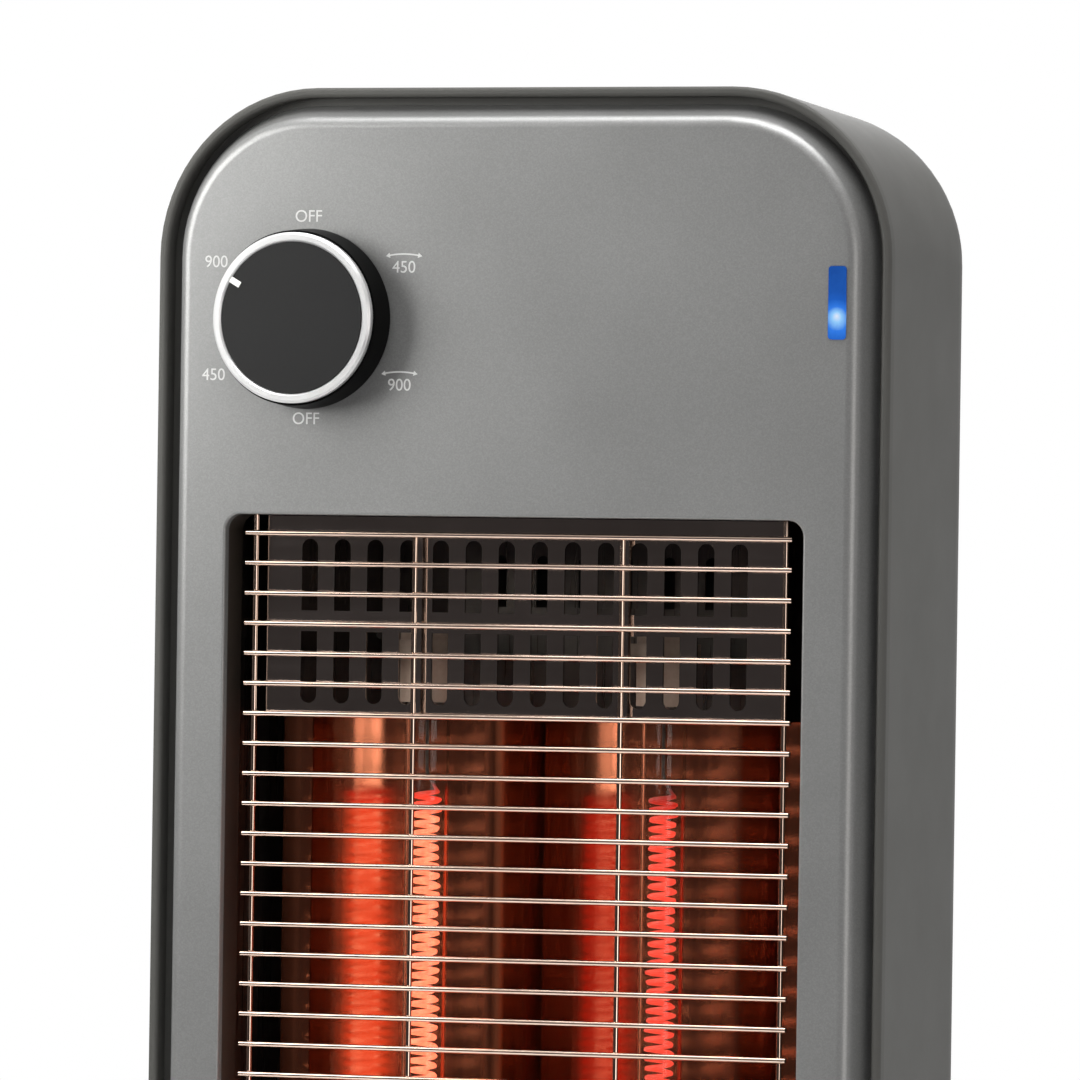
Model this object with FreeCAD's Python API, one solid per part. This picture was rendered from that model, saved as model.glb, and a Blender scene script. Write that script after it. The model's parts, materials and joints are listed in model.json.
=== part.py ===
import FreeCAD, Part
import math
import os

Vector = FreeCAD.Vector
ORIGIN = Vector(0, 0, 0)
UP = Vector(0, 0, 1)
DOWN = Vector(0, 0, -1)
FRONT = Vector(0, -1, 0)
BACK = Vector(0, 1, 0)

# Head outline, seen from the front
head_width = 240.0
head_height = 520.0
head_corner_radius = 52.0
head_depth = 98.0
head_draft = 6.0
back_edge_radius = 26.0
housing_wall = 2.2

# Rim and chassis plate of the front bezel
rim_width = 3.0
rim_edge_radius = 1.2
seam_depth = 3.6
moat_depth = 6.0
moat_width = 2.2
chassis_thickness = 2.0
joint_gap = 0.3

# Raised front panel and its window
panel_proud = 4.4
panel_slope = 4.6
panel_wall = 1.6
panel_edge_radius = 4.4
window_side_margin = 25.4
window_drop = 131.0
window_bottom_margin = 45.0
window_corner_radius = 5.0
window_lip_depth = 3.0
window_edge_radius = 0.8

# Liner of the window and the welded wire guard
liner_wall = 1.0
liner_flange_thickness = 1.2
guard_wire_radius = 0.85
guard_pitch = 9.24
guard_end_margin = 5.0
guard_depth = 5.0
guard_side_gap = 5.1
guard_outer_upright_inset = 2.6
guard_inner_upright_x = 34.0
guard_upright_tail = 9.0
guard_hole_clearance = 0.15
weld_sink = 0.25

# Steel tray behind the window
sheet = 0.8
tray_side_gap = 0.6
tray_end_gap = 6.0
tray_depth = 58.0
tray_vent_width = 4.0
tray_vent_height = 26.0
tray_vent_pitch = 14.0
tray_vent_count = 9

# Slotted mirror covers over the tube ends
cover_depth_behind_face = 10.4
cover_height = 61.0
cover_side_inset = 10.1
cover_slot_width = 5.3
cover_slot_height = 22.0
cover_slot_pitch = 10.85
cover_slot_margin = 11.0
cover_first_row_drop = 7.3
cover_row_gap = 6.4

# Twin reflector troughs
trough_margin = 3.0
trough_bottom_behind_face = 57.4
reflector_sheet = 0.6
reflector_flange = 9.0
reflector_side_gap = 7.6

# Quartz tubes, carbon spirals and ceramic caps
tube_behind_face = 30.4
tube_radius = 7.0
tube_wall = 1.0
tube_overrun = 14.0
spiral_drop = 84.5
spiral_radius = 3.7
spiral_wire_radius = 0.65
spiral_pitch = 3.8
spiral_lead_rise = 7.0
cap_radius = 8.6
cap_socket_depth = 10.0
cap_solid_length = 14.0
cap_collar_radius = 11.0
cap_collar_height = 4.0
cap_clearance = 0.2
bracket_thickness = 1.5
bracket_front_margin = 14.0
bracket_foot_height = 16.0
bracket_screw_inset = 18.5

# Knob and rotary switch
knob_from_left = 52.0
knob_drop = 71.0
knob_skirt_radius = 27.6
knob_taper = 0.8
knob_height = 13.2
knob_panel_gap = 0.8
knob_wall = 2.2
knob_web = 3.0
knob_hub_radius = 6.5
knob_ring_outer_radius = 26.1
knob_ring_width = 2.9
knob_ring_height = 2.6
knob_face_recess = 0.3
knob_fit_gap = 0.05
shaft_radius = 3.0
shaft_flat_depth = 0.8
shaft_running_gap = 0.06
switch_size = 30.0
switch_depth = 21.0
switch_bushing_radius = 5.0
switch_bushing_gap = 0.15
switch_nut_flats = 14.0
switch_nut_height = 2.6
switch_bushing_rise = 1.4
switch_blade_count = 5
panel_switch_hole_radius = 9.0

# Indicator light
lens_from_right = 15.4
lens_drop = 65.4
lens_width = 5.6
lens_height = 22.0
lens_corner_radius = 1.0
lens_proud = 0.4
lens_shoulder = 1.0
lens_shoulder_thickness = 1.0
lens_hole_gap = 0.1
board_thickness = 1.6
board_width = 12.0
board_height = 34.0
led_size = 4.0

# Screws and the posts that take them
screw_radius = 1.5
screw_head_radius = 2.7
screw_head_height = 1.9
screw_recess_width = 0.7
screw_recess_depth = 1.0
screw_gap = 0.05
screw_hole_gap = 0.25
post_radius = 4.5
post_inset = 11.5
post_end_margin = 66.0
post_boss_length = 8.0
well_gap = 0.6
well_floor = 4.0
housing_screw_grip = 6.5
panel_boss_radius = 3.5
panel_boss_end_inset = 21.0
panel_boss_end_x = 42.0
panel_boss_side_inset = 11.5
panel_boss_side_offset = 120.0
panel_screw_grip = 6.0
tray_screw_end_margin = 42.0
tray_boss_length = 5.0

# Back of the housing
louvre_length = 72.0
louvre_height = 3.2
louvre_pitch = 9.0
louvre_rows = 12
louvre_x = 44.0
louvre_lower_margin = 100.0
louvre_upper_drop = 180.0
grip_half_width = 54.0
grip_height = 34.0
grip_depth = 26.0
grip_corner_radius = 12.0
grip_drop = 72.0

# Pieces on the back of the tray
cutout_radius = 8.0
cutout_height = 9.0
cutout_flange_width = 34.0
cutout_blade_height = 7.0
terminal_width = 34.0
terminal_height = 18.0
terminal_depth = 16.0
terminal_ways = 3
terminal_rise = 46.0

# Neck and swing bearing
neck_height = 17.0
neck_top_radius = 34.0
neck_waist_radius = 29.0
neck_foot_radius = 31.0
neck_bore_radius = 11.0
journal_radius = 22.0
journal_running_gap = 0.08
socket_floor = 3.0
socket_wall = 3.0
socket_height = 18.0
neck_screw_circle = 26.0
neck_screw_grip = 9.0
bush_wall = 3.0
bush_flange = 1.0
bush_flange_width = 5.0
collar_height = 7.0
collar_wall = 9.0
retaining_gap = 0.5
retaining_thickness = 1.5
retaining_radius = 30.0
gear_screw_circle = 16.5
gear_screw_grip = 6.0

# Swing drive
gear_module = 1.5
sector_teeth_full = 60
sector_teeth_made = 20
pinion_teeth = 18
gear_thickness = 4.5
gear_backlash = 0.24
pressure_angle = 20.0
gear_root_share = 1.25
pinion_overhang = 0.5
motor_radius = 25.0
motor_height = 15.0
motor_gap_below_gear = 2.6
motor_shaft_radius = 2.5
motor_shaft_depth = 8.0
motor_ear_reach = 31.0
motor_ear_radius = 5.5
motor_ear_thickness = 1.5

# Round base
base_radius = 122.0
base_height = 40.0
base_wall = 2.5
base_skirt_top = 14.0
base_shoulder_inset = 11.0
base_shoulder_z = 22.0
base_crown_radius = 80.0
base_crown_z = 34.5
base_collar_radius = 46.0
base_collar_step = 1.2
shoulder_bulge = 0.66
shoulder_side_share = 0.8
shoulder_drop_share = 0.6
shoulder_end_share = 0.4
dome_drop_share = 1.15
foot_height = 4.0
foot_seat = 1.5
foot_radius = 9.0
foot_inset = 18.0
foot_count = 5
foot_gap = 0.1
plate_thickness = 2.5
plate_gap = 0.4
ballast_side_gap = 14.5
ballast_width = 19.0
ballast_height = 9.0
ballast_bay_gap = 1.0
base_post_gap = 10.0
base_post_angles = (20.0, 160.0, 240.0, 300.0)
base_screw_grip = 10.0
motor_post_radius = 4.2

# Tip-over switch in the base
tip_circle = 58.0
tip_body_half_width = 14.0
tip_body_half_depth = 8.0
tip_body_wall = 2.5
tip_travel = 6.0
tip_stem_radius = 3.0
tip_foot_radius = 5.0
tip_foot_height = 1.5
tip_collar_radius = 4.8
tip_collar_height = 1.5
tip_chamber_gap = 0.7
tip_guide_length = 7.5
tip_end_gap = 0.4
tip_hole_gap = 0.4
spring_wire_radius = 0.4
spring_radius = 4.3
spring_turns = 4
spring_length = 9.6

# Mains inlet at the back of the base
gland_rise = 5.0
gland_nose_radius = 4.2
gland_hole_radius = 3.4
gland_flange_radius = 4.8
gland_flange_thickness = 2.4
gland_inset = 0.4
gland_gap = 0.15

# Levels and planes that follow from the sizes above
plate_bottom_z = foot_height - foot_seat
plate_top_z = plate_bottom_z + plate_thickness
foot_circle = base_radius - foot_inset
ballast_outer_radius = base_radius - base_wall - ballast_side_gap
ballast_inner_radius = ballast_outer_radius - ballast_width
base_post_circle = ballast_inner_radius - base_post_gap
neck_shoulder_z = base_height + bush_flange
head_low = neck_shoulder_z + neck_height
head_high = head_low + head_height
half_width = head_width / 2.0
rim_y = -head_depth / 2.0
back_y = head_depth / 2.0
seam_y = rim_y + seam_depth
chassis_front_y = rim_y + moat_depth
chassis_back_y = chassis_front_y + chassis_thickness
face_y = rim_y - panel_proud
panel_back_y = face_y + panel_wall
panel_inset = rim_width + moat_width
window_half = half_width - window_side_margin
window_high = head_high - window_drop
window_low = head_low + window_bottom_margin
window_height = window_high - window_low
spiral_turns = int((window_height - 2.0 * spiral_drop) / spiral_pitch)
liner_back_y = chassis_back_y + liner_flange_thickness
tray_front_y = liner_back_y + sheet
tray_back_y = rim_y + tray_depth
tray_half = window_half + tray_side_gap
tray_low = window_low - tray_end_gap
tray_high = window_high + tray_end_gap
post_x = half_width - post_inset
flange_half = post_x - post_radius - 4.0 * joint_gap
tray_screw_x = (tray_half + sheet + flange_half) / 2.0
cover_y = face_y + cover_depth_behind_face
cover_half = window_half - cover_side_inset
cover_slot_room = 2.0 * (cover_half - cover_slot_margin) - cover_slot_width
cover_slot_count = int(cover_slot_room / cover_slot_pitch) + 1
bracket_screw_x = cover_half - bracket_screw_inset
tube_x = (window_half - reflector_side_gap - reflector_flange) / 2.0
trough_radius = tube_x + trough_margin
reflector_high = window_high - cover_height
reflector_low = window_low + cover_height
tube_y = face_y + tube_behind_face
tube_high = reflector_high + tube_overrun
tube_low = reflector_low - tube_overrun
guard_y = face_y + guard_depth
guard_half = window_half - guard_side_gap
upright_y = guard_y + 2.0 * guard_wire_radius - weld_sink
knob_x = knob_from_left - half_width
knob_z = head_high - knob_drop
lens_x = half_width - lens_from_right
lens_z = head_high - lens_drop
collar_low_z = base_height - collar_height
retaining_top_z = collar_low_z - retaining_gap
gear_top_z = retaining_top_z - retaining_thickness
gear_low_z = gear_top_z - gear_thickness
motor_top_z = gear_low_z - motor_gap_below_gear
motor_low_z = motor_top_z - motor_height
bush_radius = journal_radius + journal_running_gap + bush_wall
gear_centre_distance = gear_module * (sector_teeth_full + pinion_teeth) / 2.0
tip_y = -tip_circle
tip_collar_low_z = plate_top_z + tip_travel + tip_end_gap
tip_collar_top_z = tip_collar_low_z + tip_collar_height
tip_roof_z = tip_collar_top_z + spring_length
tip_stem_top_z = tip_roof_z + tip_guide_length
tip_body_top_z = tip_stem_top_z + tip_end_gap + tip_body_wall
tip_chamber_radius = tip_collar_radius + tip_chamber_gap
gland_z = plate_top_z + gland_rise


# Shapes used more than once

def rounded_wire(half, low, high, radius, y, middle=0.0):
    """Upright outline at one depth: a rectangle with four round corners."""
    reach = half - radius
    centres = [(reach, high - radius), (-reach, high - radius), (-reach, low + radius), (reach, low + radius)]
    edges = []
    last = None
    first = None
    for quarter, (x, z) in enumerate(centres):
        points = []
        for angle in (90.0 * quarter, 90.0 * quarter + 45.0, 90.0 * quarter + 90.0):
            turn = math.radians(angle)
            points.append(Vector(middle + x + radius * math.cos(turn), y, z + radius * math.sin(turn)))
        if last is None:
            first = points[0]
        else:
            edges.append(Part.LineSegment(last, points[0]).toShape())
        edges.append(Part.Arc(*points).toShape())
        last = points[2]
    edges.append(Part.LineSegment(last, first).toShape())
    return Part.Wire(edges)


def rounded_block(half, low, high, radius, front, back, middle=0.0):
    """Straight block through the depth with a rounded outline."""
    face = Part.Face(rounded_wire(half, low, high, radius, front, middle))
    return face.extrude(Vector(0, back - front, 0))


def head_wire(inset, y):
    """The head's outline drawn in by an even inset."""
    radius = head_corner_radius - inset
    return rounded_wire(half_width - inset, head_low + inset, head_high - inset, radius, y)


def head_slab(inset, front, back):
    """Straight slab with the head's inset outline."""
    return Part.Face(head_wire(inset, front)).extrude(Vector(0, back - front, 0))


def edges_at_depth(shape, y):
    """Edges that lie wholly in the plane at one depth."""
    return [edge for edge in shape.Edges if all(abs(corner.Y - y) < 1e-5 for corner in edge.Vertexes)]


def box_between(low, high):
    """Box from its lowest to its highest corner."""
    size = high - low
    return Part.makeBox(size.x, size.y, size.z, low)


def turned(profile):
    """Solid of revolution about the Z axis from points of radius and height, with arcs as triples."""
    edges = []
    points = []
    for item in profile:
        if len(item) == 2:
            points.append(Vector(item[0], 0, item[1]))
            if len(points) > 1:
                edges.append(Part.LineSegment(points[-2], points[-1]).toShape())
        else:
            through = Vector(item[0], 0, item[1])
            end = Vector(item[2], 0, item[3])
            edges.append(Part.Arc(points[-1], through, end).toShape())
            points.append(end)
    edges.append(Part.LineSegment(points[-1], points[0]).toShape())
    return Part.Face(Part.Wire(edges)).revolve(ORIGIN, UP, 360)


def facing_front(shape, x, y, z):
    """Turns a shape made about the Z axis to point out of the front, at a place."""
    shape.rotate(ORIGIN, Vector(1, 0, 0), 90)
    shape.translate(Vector(x, y, z))
    return shape


def joined(shapes):
    """One solid from several that meet."""
    return shapes[0].multiFuse(shapes[1:]).removeSplitter()


def cut_all(shape, tools):
    """Takes many tools out of one shape."""
    return shape.cut(Part.makeCompound(tools))


def screw(seat, direction, length):
    """Cross-head screw whose head rests on the seat and whose shank points along the direction."""
    head = Part.makeCylinder(screw_head_radius, screw_head_height)
    shank = Part.makeCylinder(screw_radius, length, ORIGIN, DOWN)
    solid = head.fuse(shank)
    reach = screw_head_radius * 0.7
    floor = screw_head_height - screw_recess_depth
    half = screw_recess_width / 2.0
    slots = [
        box_between(Vector(-reach, -half, floor), Vector(reach, half, screw_head_height + 1.0)),
        box_between(Vector(-half, -reach, floor), Vector(half, reach, screw_head_height + 1.0)),
    ]
    solid = cut_all(solid, slots).removeSplitter()
    solid.Placement = FreeCAD.Placement(seat, FreeCAD.Rotation(DOWN, direction))
    return solid


def around(circle, angle, z=0.0):
    """Point on a circle about the Z axis."""
    turn = math.radians(angle)
    return Vector(circle * math.cos(turn), circle * math.sin(turn), z)


# Places of the fasteners

def housing_post_places():
    """X and Z of the posts that join the rear housing to the bezel."""
    levels = [head_low + post_end_margin, (head_low + head_high) / 2.0, head_high - post_end_margin]
    return [(side * post_x, z) for z in levels for side in (-1, 1)]


def panel_boss_places():
    """X and Z of the bosses that join the panel to the bezel."""
    middle = (head_low + head_high) / 2.0
    ends = [head_low + panel_boss_end_inset, head_high - panel_boss_end_inset]
    places = [(side * panel_boss_end_x, z) for z in ends for side in (-1, 1)]
    sides = [middle - panel_boss_side_offset, middle + panel_boss_side_offset]
    places += [(side * (half_width - panel_boss_side_inset), z) for z in sides for side in (-1, 1)]
    return places


def tray_screw_places():
    """X and Z of the screws that hold the tray and the liner on the bezel."""
    middle = (window_low + window_high) / 2.0
    levels = [window_low + tray_screw_end_margin, middle, window_high - tray_screw_end_margin]
    return [(side * tray_screw_x, z) for z in levels for side in (-1, 1)]


# Head shells

def housing_block(inset):
    """The rear housing's outer form, drawn in by an inset."""
    end = back_y - inset
    block = Part.makeLoft([head_wire(inset, seam_y), head_wire(inset + head_draft, end)], True, True)
    return block.makeFillet(back_edge_radius - inset, edges_at_depth(block, end))


def louvre_slots():
    """Level slots through the back wall, in two groups of two columns."""
    slots = []
    span = (louvre_rows - 1) * louvre_pitch
    starts = [head_low + louvre_lower_margin, head_high - louvre_upper_drop - span]
    for start in starts:
        for row in range(louvre_rows):
            z = start + row * louvre_pitch
            for side in (-1, 1):
                slots.append(rounded_block(
                    louvre_length / 2.0, z - louvre_height / 2.0, z + louvre_height / 2.0,
                    louvre_height * 0.45, back_y - back_edge_radius, back_y + 1.0, side * louvre_x))
    return slots


def grip_block(grow):
    """The hand-grip recess, grown by a wall."""
    low = head_high - grip_drop - grip_height / 2.0
    return rounded_block(
        grip_half_width + grow, low - grow, low + grip_height + grow, grip_corner_radius + grow,
        back_y - grip_depth - grow, back_y + 1.0)


def make_rear_housing():
    """Back shell with posts, screw wells, louvres, grip recess and neck socket."""
    outer = housing_block(0.0)
    shell = outer.cut(housing_block(housing_wall))
    post_front = chassis_back_y + post_boss_length
    adds = [grip_block(housing_wall).common(outer)]
    cuts = louvre_slots() + [grip_block(0.0)]
    for x, z in housing_post_places():
        post = Part.makeCylinder(post_radius, back_y - post_front, Vector(x, post_front, z), BACK)
        adds.append(post.common(outer))
        well_front = post_front + well_floor
        well = screw_head_radius + well_gap
        cuts.append(Part.makeCylinder(well, head_depth, Vector(x, well_front, z), BACK))
        hole = screw_radius + screw_hole_gap
        cuts.append(Part.makeCylinder(hole, head_depth, Vector(x, post_front - 1.0, z), BACK))
    socket = Part.makeCylinder(neck_top_radius + socket_wall, socket_height, Vector(0, 0, head_low))
    hollow = Part.makeCylinder(neck_top_radius, head_height / 4.0, Vector(0, 0, head_low + socket_floor))
    adds.append(socket)
    cuts.append(hollow)
    cuts.append(Part.makeCylinder(neck_bore_radius, head_height / 4.0, Vector(0, 0, head_low - 1.0)))
    for place in neck_screw_places():
        cuts.append(Part.makeCylinder(screw_radius + screw_hole_gap, head_height / 4.0, place, UP))
    return cut_all(joined([shell] + adds), cuts)


def make_front_bezel():
    """Rim, moat and chassis plate with bosses for the screws."""
    rim = head_slab(0.0, rim_y, seam_y)
    tongue = head_slab(housing_wall + joint_gap, seam_y, chassis_back_y)
    body = joined([rim, tongue]).cut(head_slab(rim_width, rim_y - 1.0, chassis_front_y))
    body = body.makeFillet(rim_edge_radius, edges_at_depth(body, rim_y))
    liner_outer = window_half + liner_wall + joint_gap
    opening = rounded_block(
        liner_outer, window_low - liner_wall - joint_gap, window_high + liner_wall + joint_gap,
        window_corner_radius + liner_wall, chassis_front_y - 1.0, chassis_back_y + 1.0)
    adds = []
    cuts = [opening]
    pilot = screw_radius + screw_gap
    for x, z in housing_post_places():
        adds.append(Part.makeCylinder(post_radius, post_boss_length, Vector(x, chassis_back_y, z), BACK))
        cuts.append(Part.makeCylinder(pilot, post_boss_length + 1.0, Vector(x, chassis_back_y, z), BACK))
    for x, z in tray_screw_places():
        foot = Vector(x, chassis_front_y, z)
        adds.append(Part.makeCylinder(screw_head_radius, tray_boss_length, foot, FRONT))
        start = Vector(x, chassis_back_y + 1.0, z)
        cuts.append(Part.makeCylinder(pilot, chassis_thickness + tray_boss_length, start, FRONT))
    for x, z in panel_boss_places():
        start = Vector(x, chassis_front_y - 1.0, z)
        cuts.append(Part.makeCylinder(screw_radius + screw_hole_gap, chassis_thickness + 2.0, start, BACK))
    bushing_hole = switch_bushing_radius + switch_bushing_gap
    start = Vector(knob_x, chassis_front_y - 1.0, knob_z)
    cuts.append(Part.makeCylinder(bushing_hole, chassis_thickness + 2.0, start, BACK))
    return cut_all(joined([body] + adds), cuts)


def panel_block(inset):
    """The raised panel's form, drawn in by an inset."""
    face = face_y + inset
    base = head_wire(panel_inset + inset, chassis_front_y)
    block = Part.makeLoft([base, head_wire(panel_inset + panel_slope + inset, face)], True, True)
    if panel_edge_radius > inset:
        block = block.makeFillet(panel_edge_radius - inset, edges_at_depth(block, face))
    return block


def window_block(grow, front, back):
    """The window's outline grown outwards and run through a depth."""
    return rounded_block(
        window_half + grow, window_low - grow, window_high + grow, window_corner_radius + grow, front, back)


def make_front_panel():
    """Raised panel with a lipped window, the light's slot and the switch hole."""
    outer = panel_block(0.0)
    shell = outer.cut(panel_block(panel_wall))
    adds = [window_block(panel_wall, panel_back_y, face_y + window_lip_depth)]
    cuts = [window_block(0.0, face_y - 1.0, chassis_front_y)]
    for x, z in panel_boss_places():
        foot = Vector(x, panel_back_y, z)
        boss = Part.makeCylinder(panel_boss_radius, chassis_front_y - panel_back_y, foot, BACK)
        adds.append(boss.common(outer))
        start = Vector(x, chassis_front_y + 1.0, z)
        cuts.append(Part.makeCylinder(screw_radius + screw_gap, panel_screw_grip + 1.5, start, FRONT))
    cuts.append(lens_prism(lens_hole_gap, face_y - 1.0, chassis_front_y))
    start = Vector(knob_x, face_y - 1.0, knob_z)
    cuts.append(Part.makeCylinder(panel_switch_hole_radius, moat_depth + panel_proud, start, BACK))
    panel = cut_all(joined([shell] + adds), cuts)
    lip = []
    for edge in edges_at_depth(panel, face_y):
        reach = max(abs(edge.BoundBox.XMin), abs(edge.BoundBox.XMax))
        inside = edge.BoundBox.ZMin > window_low - joint_gap and edge.BoundBox.ZMax < window_high + joint_gap
        if inside and reach < window_half + joint_gap:
            lip.append(edge)
    return panel.makeFillet(window_edge_radius, lip)


def upright_xs():
    """X of the guard's upright wires, outer pair last."""
    outer = guard_half - guard_outer_upright_inset
    return [-guard_inner_upright_x, guard_inner_upright_x, -outer, outer]


def make_window_liner():
    """Dark frame between the panel's lip and the tray, with sockets for the guard."""
    front = face_y + window_lip_depth
    tube = window_block(liner_wall, front, liner_back_y)
    flange = rounded_block(
        flange_half, tray_low - liner_wall, tray_high + liner_wall, window_corner_radius,
        chassis_back_y, liner_back_y)
    frame = joined([tube, flange]).cut(window_block(0.0, front - 1.0, liner_back_y + 1.0))
    cuts = []
    wire_hole = guard_wire_radius + guard_hole_clearance
    for x in upright_xs()[2:]:
        for z in (window_low, window_high):
            start = Vector(x, upright_y, z - guard_upright_tail)
            cuts.append(Part.makeCylinder(wire_hole, 2.0 * guard_upright_tail, start))
    for x, z in tray_screw_places():
        start = Vector(x, chassis_back_y - 1.0, z)
        cuts.append(Part.makeCylinder(screw_radius + screw_hole_gap, liner_flange_thickness + 2.0, start, BACK))
    return cut_all(frame, cuts)


def make_wire_guard():
    """Level wires welded to four uprights."""
    room = window_height - 2.0 * guard_end_margin
    gaps = int(room / guard_pitch)
    first = (window_low + window_high - gaps * guard_pitch) / 2.0
    last = first + gaps * guard_pitch
    wires = []
    for row in range(gaps + 1):
        start = Vector(-guard_half, guard_y, first + row * guard_pitch)
        wires.append(Part.makeCylinder(guard_wire_radius, 2.0 * guard_half, start, Vector(1, 0, 0)))
    for x in upright_xs()[:2]:
        start = Vector(x, upright_y, first - guard_wire_radius)
        wires.append(Part.makeCylinder(guard_wire_radius, last - first + 2.0 * guard_wire_radius, start))
    tail = liner_wall + guard_upright_tail / 2.0
    for x in upright_xs()[2:]:
        start = Vector(x, upright_y, window_low - tail)
        wires.append(Part.makeCylinder(guard_wire_radius, window_height + 2.0 * tail, start))
    return wires[0].multiFuse(wires[1:])


# Heating unit

def make_reflector_tray():
    """Open steel box with a flange round its mouth and vents in its back."""
    outer = rounded_block(
        tray_half + sheet, tray_low - sheet, tray_high + sheet, window_corner_radius, liner_back_y, tray_back_y)
    flange = rounded_block(
        flange_half, tray_low - liner_wall - tray_end_gap, tray_high + liner_wall + tray_end_gap,
        window_corner_radius, liner_back_y, tray_front_y)
    hollow = rounded_block(
        tray_half, tray_low, tray_high, window_corner_radius - sheet, liner_back_y - 1.0, tray_back_y - sheet)
    cuts = [hollow]
    half_span = (tray_vent_count - 1) * tray_vent_pitch / 2.0
    for row_z in (tray_low + cover_height / 2.0, tray_high - cover_height / 2.0):
        for column in range(tray_vent_count):
            cuts.append(rounded_block(
                tray_vent_width / 2.0, row_z - tray_vent_height / 2.0, row_z + tray_vent_height / 2.0,
                tray_vent_width * 0.45, tray_back_y - 2.0 * sheet, tray_back_y + 1.0,
                column * tray_vent_pitch - half_span))
    for x, z in tray_screw_places():
        start = Vector(x, liner_back_y - 1.0, z)
        cuts.append(Part.makeCylinder(screw_radius + screw_hole_gap, sheet + 2.0, start, BACK))
    for seat in bracket_screw_seats():
        start = Vector(seat.x, tray_back_y - 2.0 * sheet, seat.z)
        cuts.append(Part.makeCylinder(screw_radius + screw_hole_gap, 3.0 * sheet, start, BACK))
    return cut_all(joined([outer, flange]), cuts)


def cover_slots(top, sign):
    """Two rows of slots with one round end each, away from each other, below a cover's window edge."""
    slots = []
    half = cover_slot_width / 2.0
    half_span = (cover_slot_count - 1) * cover_slot_pitch / 2.0
    first_near = top - sign * cover_first_row_drop
    first_far = first_near - sign * cover_slot_height
    second_near = first_far - sign * cover_row_gap
    second_far = second_near - sign * cover_slot_height
    rows = [(first_far, first_near - sign * half), (second_near, second_far + sign * half)]
    for flat_z, round_z in rows:
        for column in range(cover_slot_count):
            x = column * cover_slot_pitch - half_span
            low = Vector(x - half, cover_y - 1.0, min(flat_z, round_z))
            high = Vector(x + half, cover_y + sheet + 1.0, max(flat_z, round_z))
            round_end = Part.makeCylinder(half, sheet + 2.0, Vector(x, cover_y - 1.0, round_z), BACK)
            slots.append(box_between(low, high).fuse(round_end))
    return slots


def make_vent_cover(low, high, window_edge, sign):
    """Channel-shaped mirror plate that hides the tube ends."""
    back = tray_back_y - sheet
    block = box_between(Vector(-cover_half, cover_y, low), Vector(cover_half, back, high))
    hollow = box_between(
        Vector(sheet - cover_half, cover_y + sheet, low - 1.0),
        Vector(cover_half - sheet, back + 1.0, high + 1.0))
    return cut_all(block.cut(hollow), cover_slots(window_edge, sign))


def make_reflector():
    """Polished sheet bent into two troughs, with a flange and a leg on each side."""
    axis_y = face_y + trough_bottom_behind_face - trough_radius
    lip_y = axis_y + math.sqrt(trough_radius ** 2 - tube_x ** 2)
    height = reflector_high - reflector_low
    shells = []
    for side in (-1, 1):
        base = Vector(side * tube_x, axis_y, reflector_low)
        ring = Part.makeCylinder(trough_radius + reflector_sheet, height, base)
        ring = ring.cut(Part.makeCylinder(trough_radius, height, base))
        low_x = min(0.0, 2.0 * side * tube_x)
        keep = Part.makeBox(2.0 * tube_x, 2.0 * trough_radius, height, Vector(low_x, lip_y, reflector_low))
        shells.append(ring.common(keep))
        edge = 2.0 * tube_x
        outer = edge + reflector_flange
        xs = sorted((side * (edge - reflector_sheet), side * outer))
        shells.append(box_between(
            Vector(xs[0], lip_y, reflector_low), Vector(xs[1], lip_y + reflector_sheet, reflector_high)))
        xs = sorted((side * (outer - reflector_sheet), side * outer))
        shells.append(box_between(
            Vector(xs[0], lip_y, reflector_low), Vector(xs[1], tray_back_y - sheet, reflector_high)))
    return joined(shells)


def make_quartz_tube(side):
    """Clear tube, open at both ends inside its caps."""
    base = Vector(side * tube_x, tube_y, tube_low)
    outer = Part.makeCylinder(tube_radius, tube_high - tube_low, base)
    return outer.cut(Part.makeCylinder(tube_radius - tube_wall, tube_high - tube_low, base))


def make_ceramic_cap(side, end, up):
    """Socket that holds one end of a tube, with a collar that sits on its bracket."""
    axis = Vector(0, 0, up)
    centre = Vector(side * tube_x, tube_y, end)
    mouth = centre - axis * cap_socket_depth
    body = Part.makeCylinder(cap_radius, cap_socket_depth + cap_solid_length, mouth, axis)
    socket = Part.makeCylinder(tube_radius + cap_clearance, cap_socket_depth, mouth, axis)
    collar_start = centre + axis * (cap_solid_length / 4.0 + bracket_thickness)
    collar = Part.makeCylinder(cap_collar_radius, cap_collar_height, collar_start, axis)
    return body.fuse(collar).cut(socket).removeSplitter()


def bracket_level(end, up):
    """Lowest and highest Z of a bracket's shelf."""
    near = end + up * cap_solid_length / 4.0
    far = near + up * bracket_thickness
    return min(near, far), max(near, far)


def bracket_foot_z(end, up):
    """Height of the screws in a bracket's foot."""
    return end + up * (cap_solid_length / 4.0 + bracket_foot_height / 2.0)


def bracket_screw_seats():
    """Seats of the bracket screws on the front of the bracket feet."""
    y = tray_back_y - sheet - bracket_thickness
    seats = []
    for end, up in ((tube_high, 1), (tube_low, -1)):
        for side in (-1, 1):
            seats.append(Vector(side * bracket_screw_x, y, bracket_foot_z(end, up)))
    return seats


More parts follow.
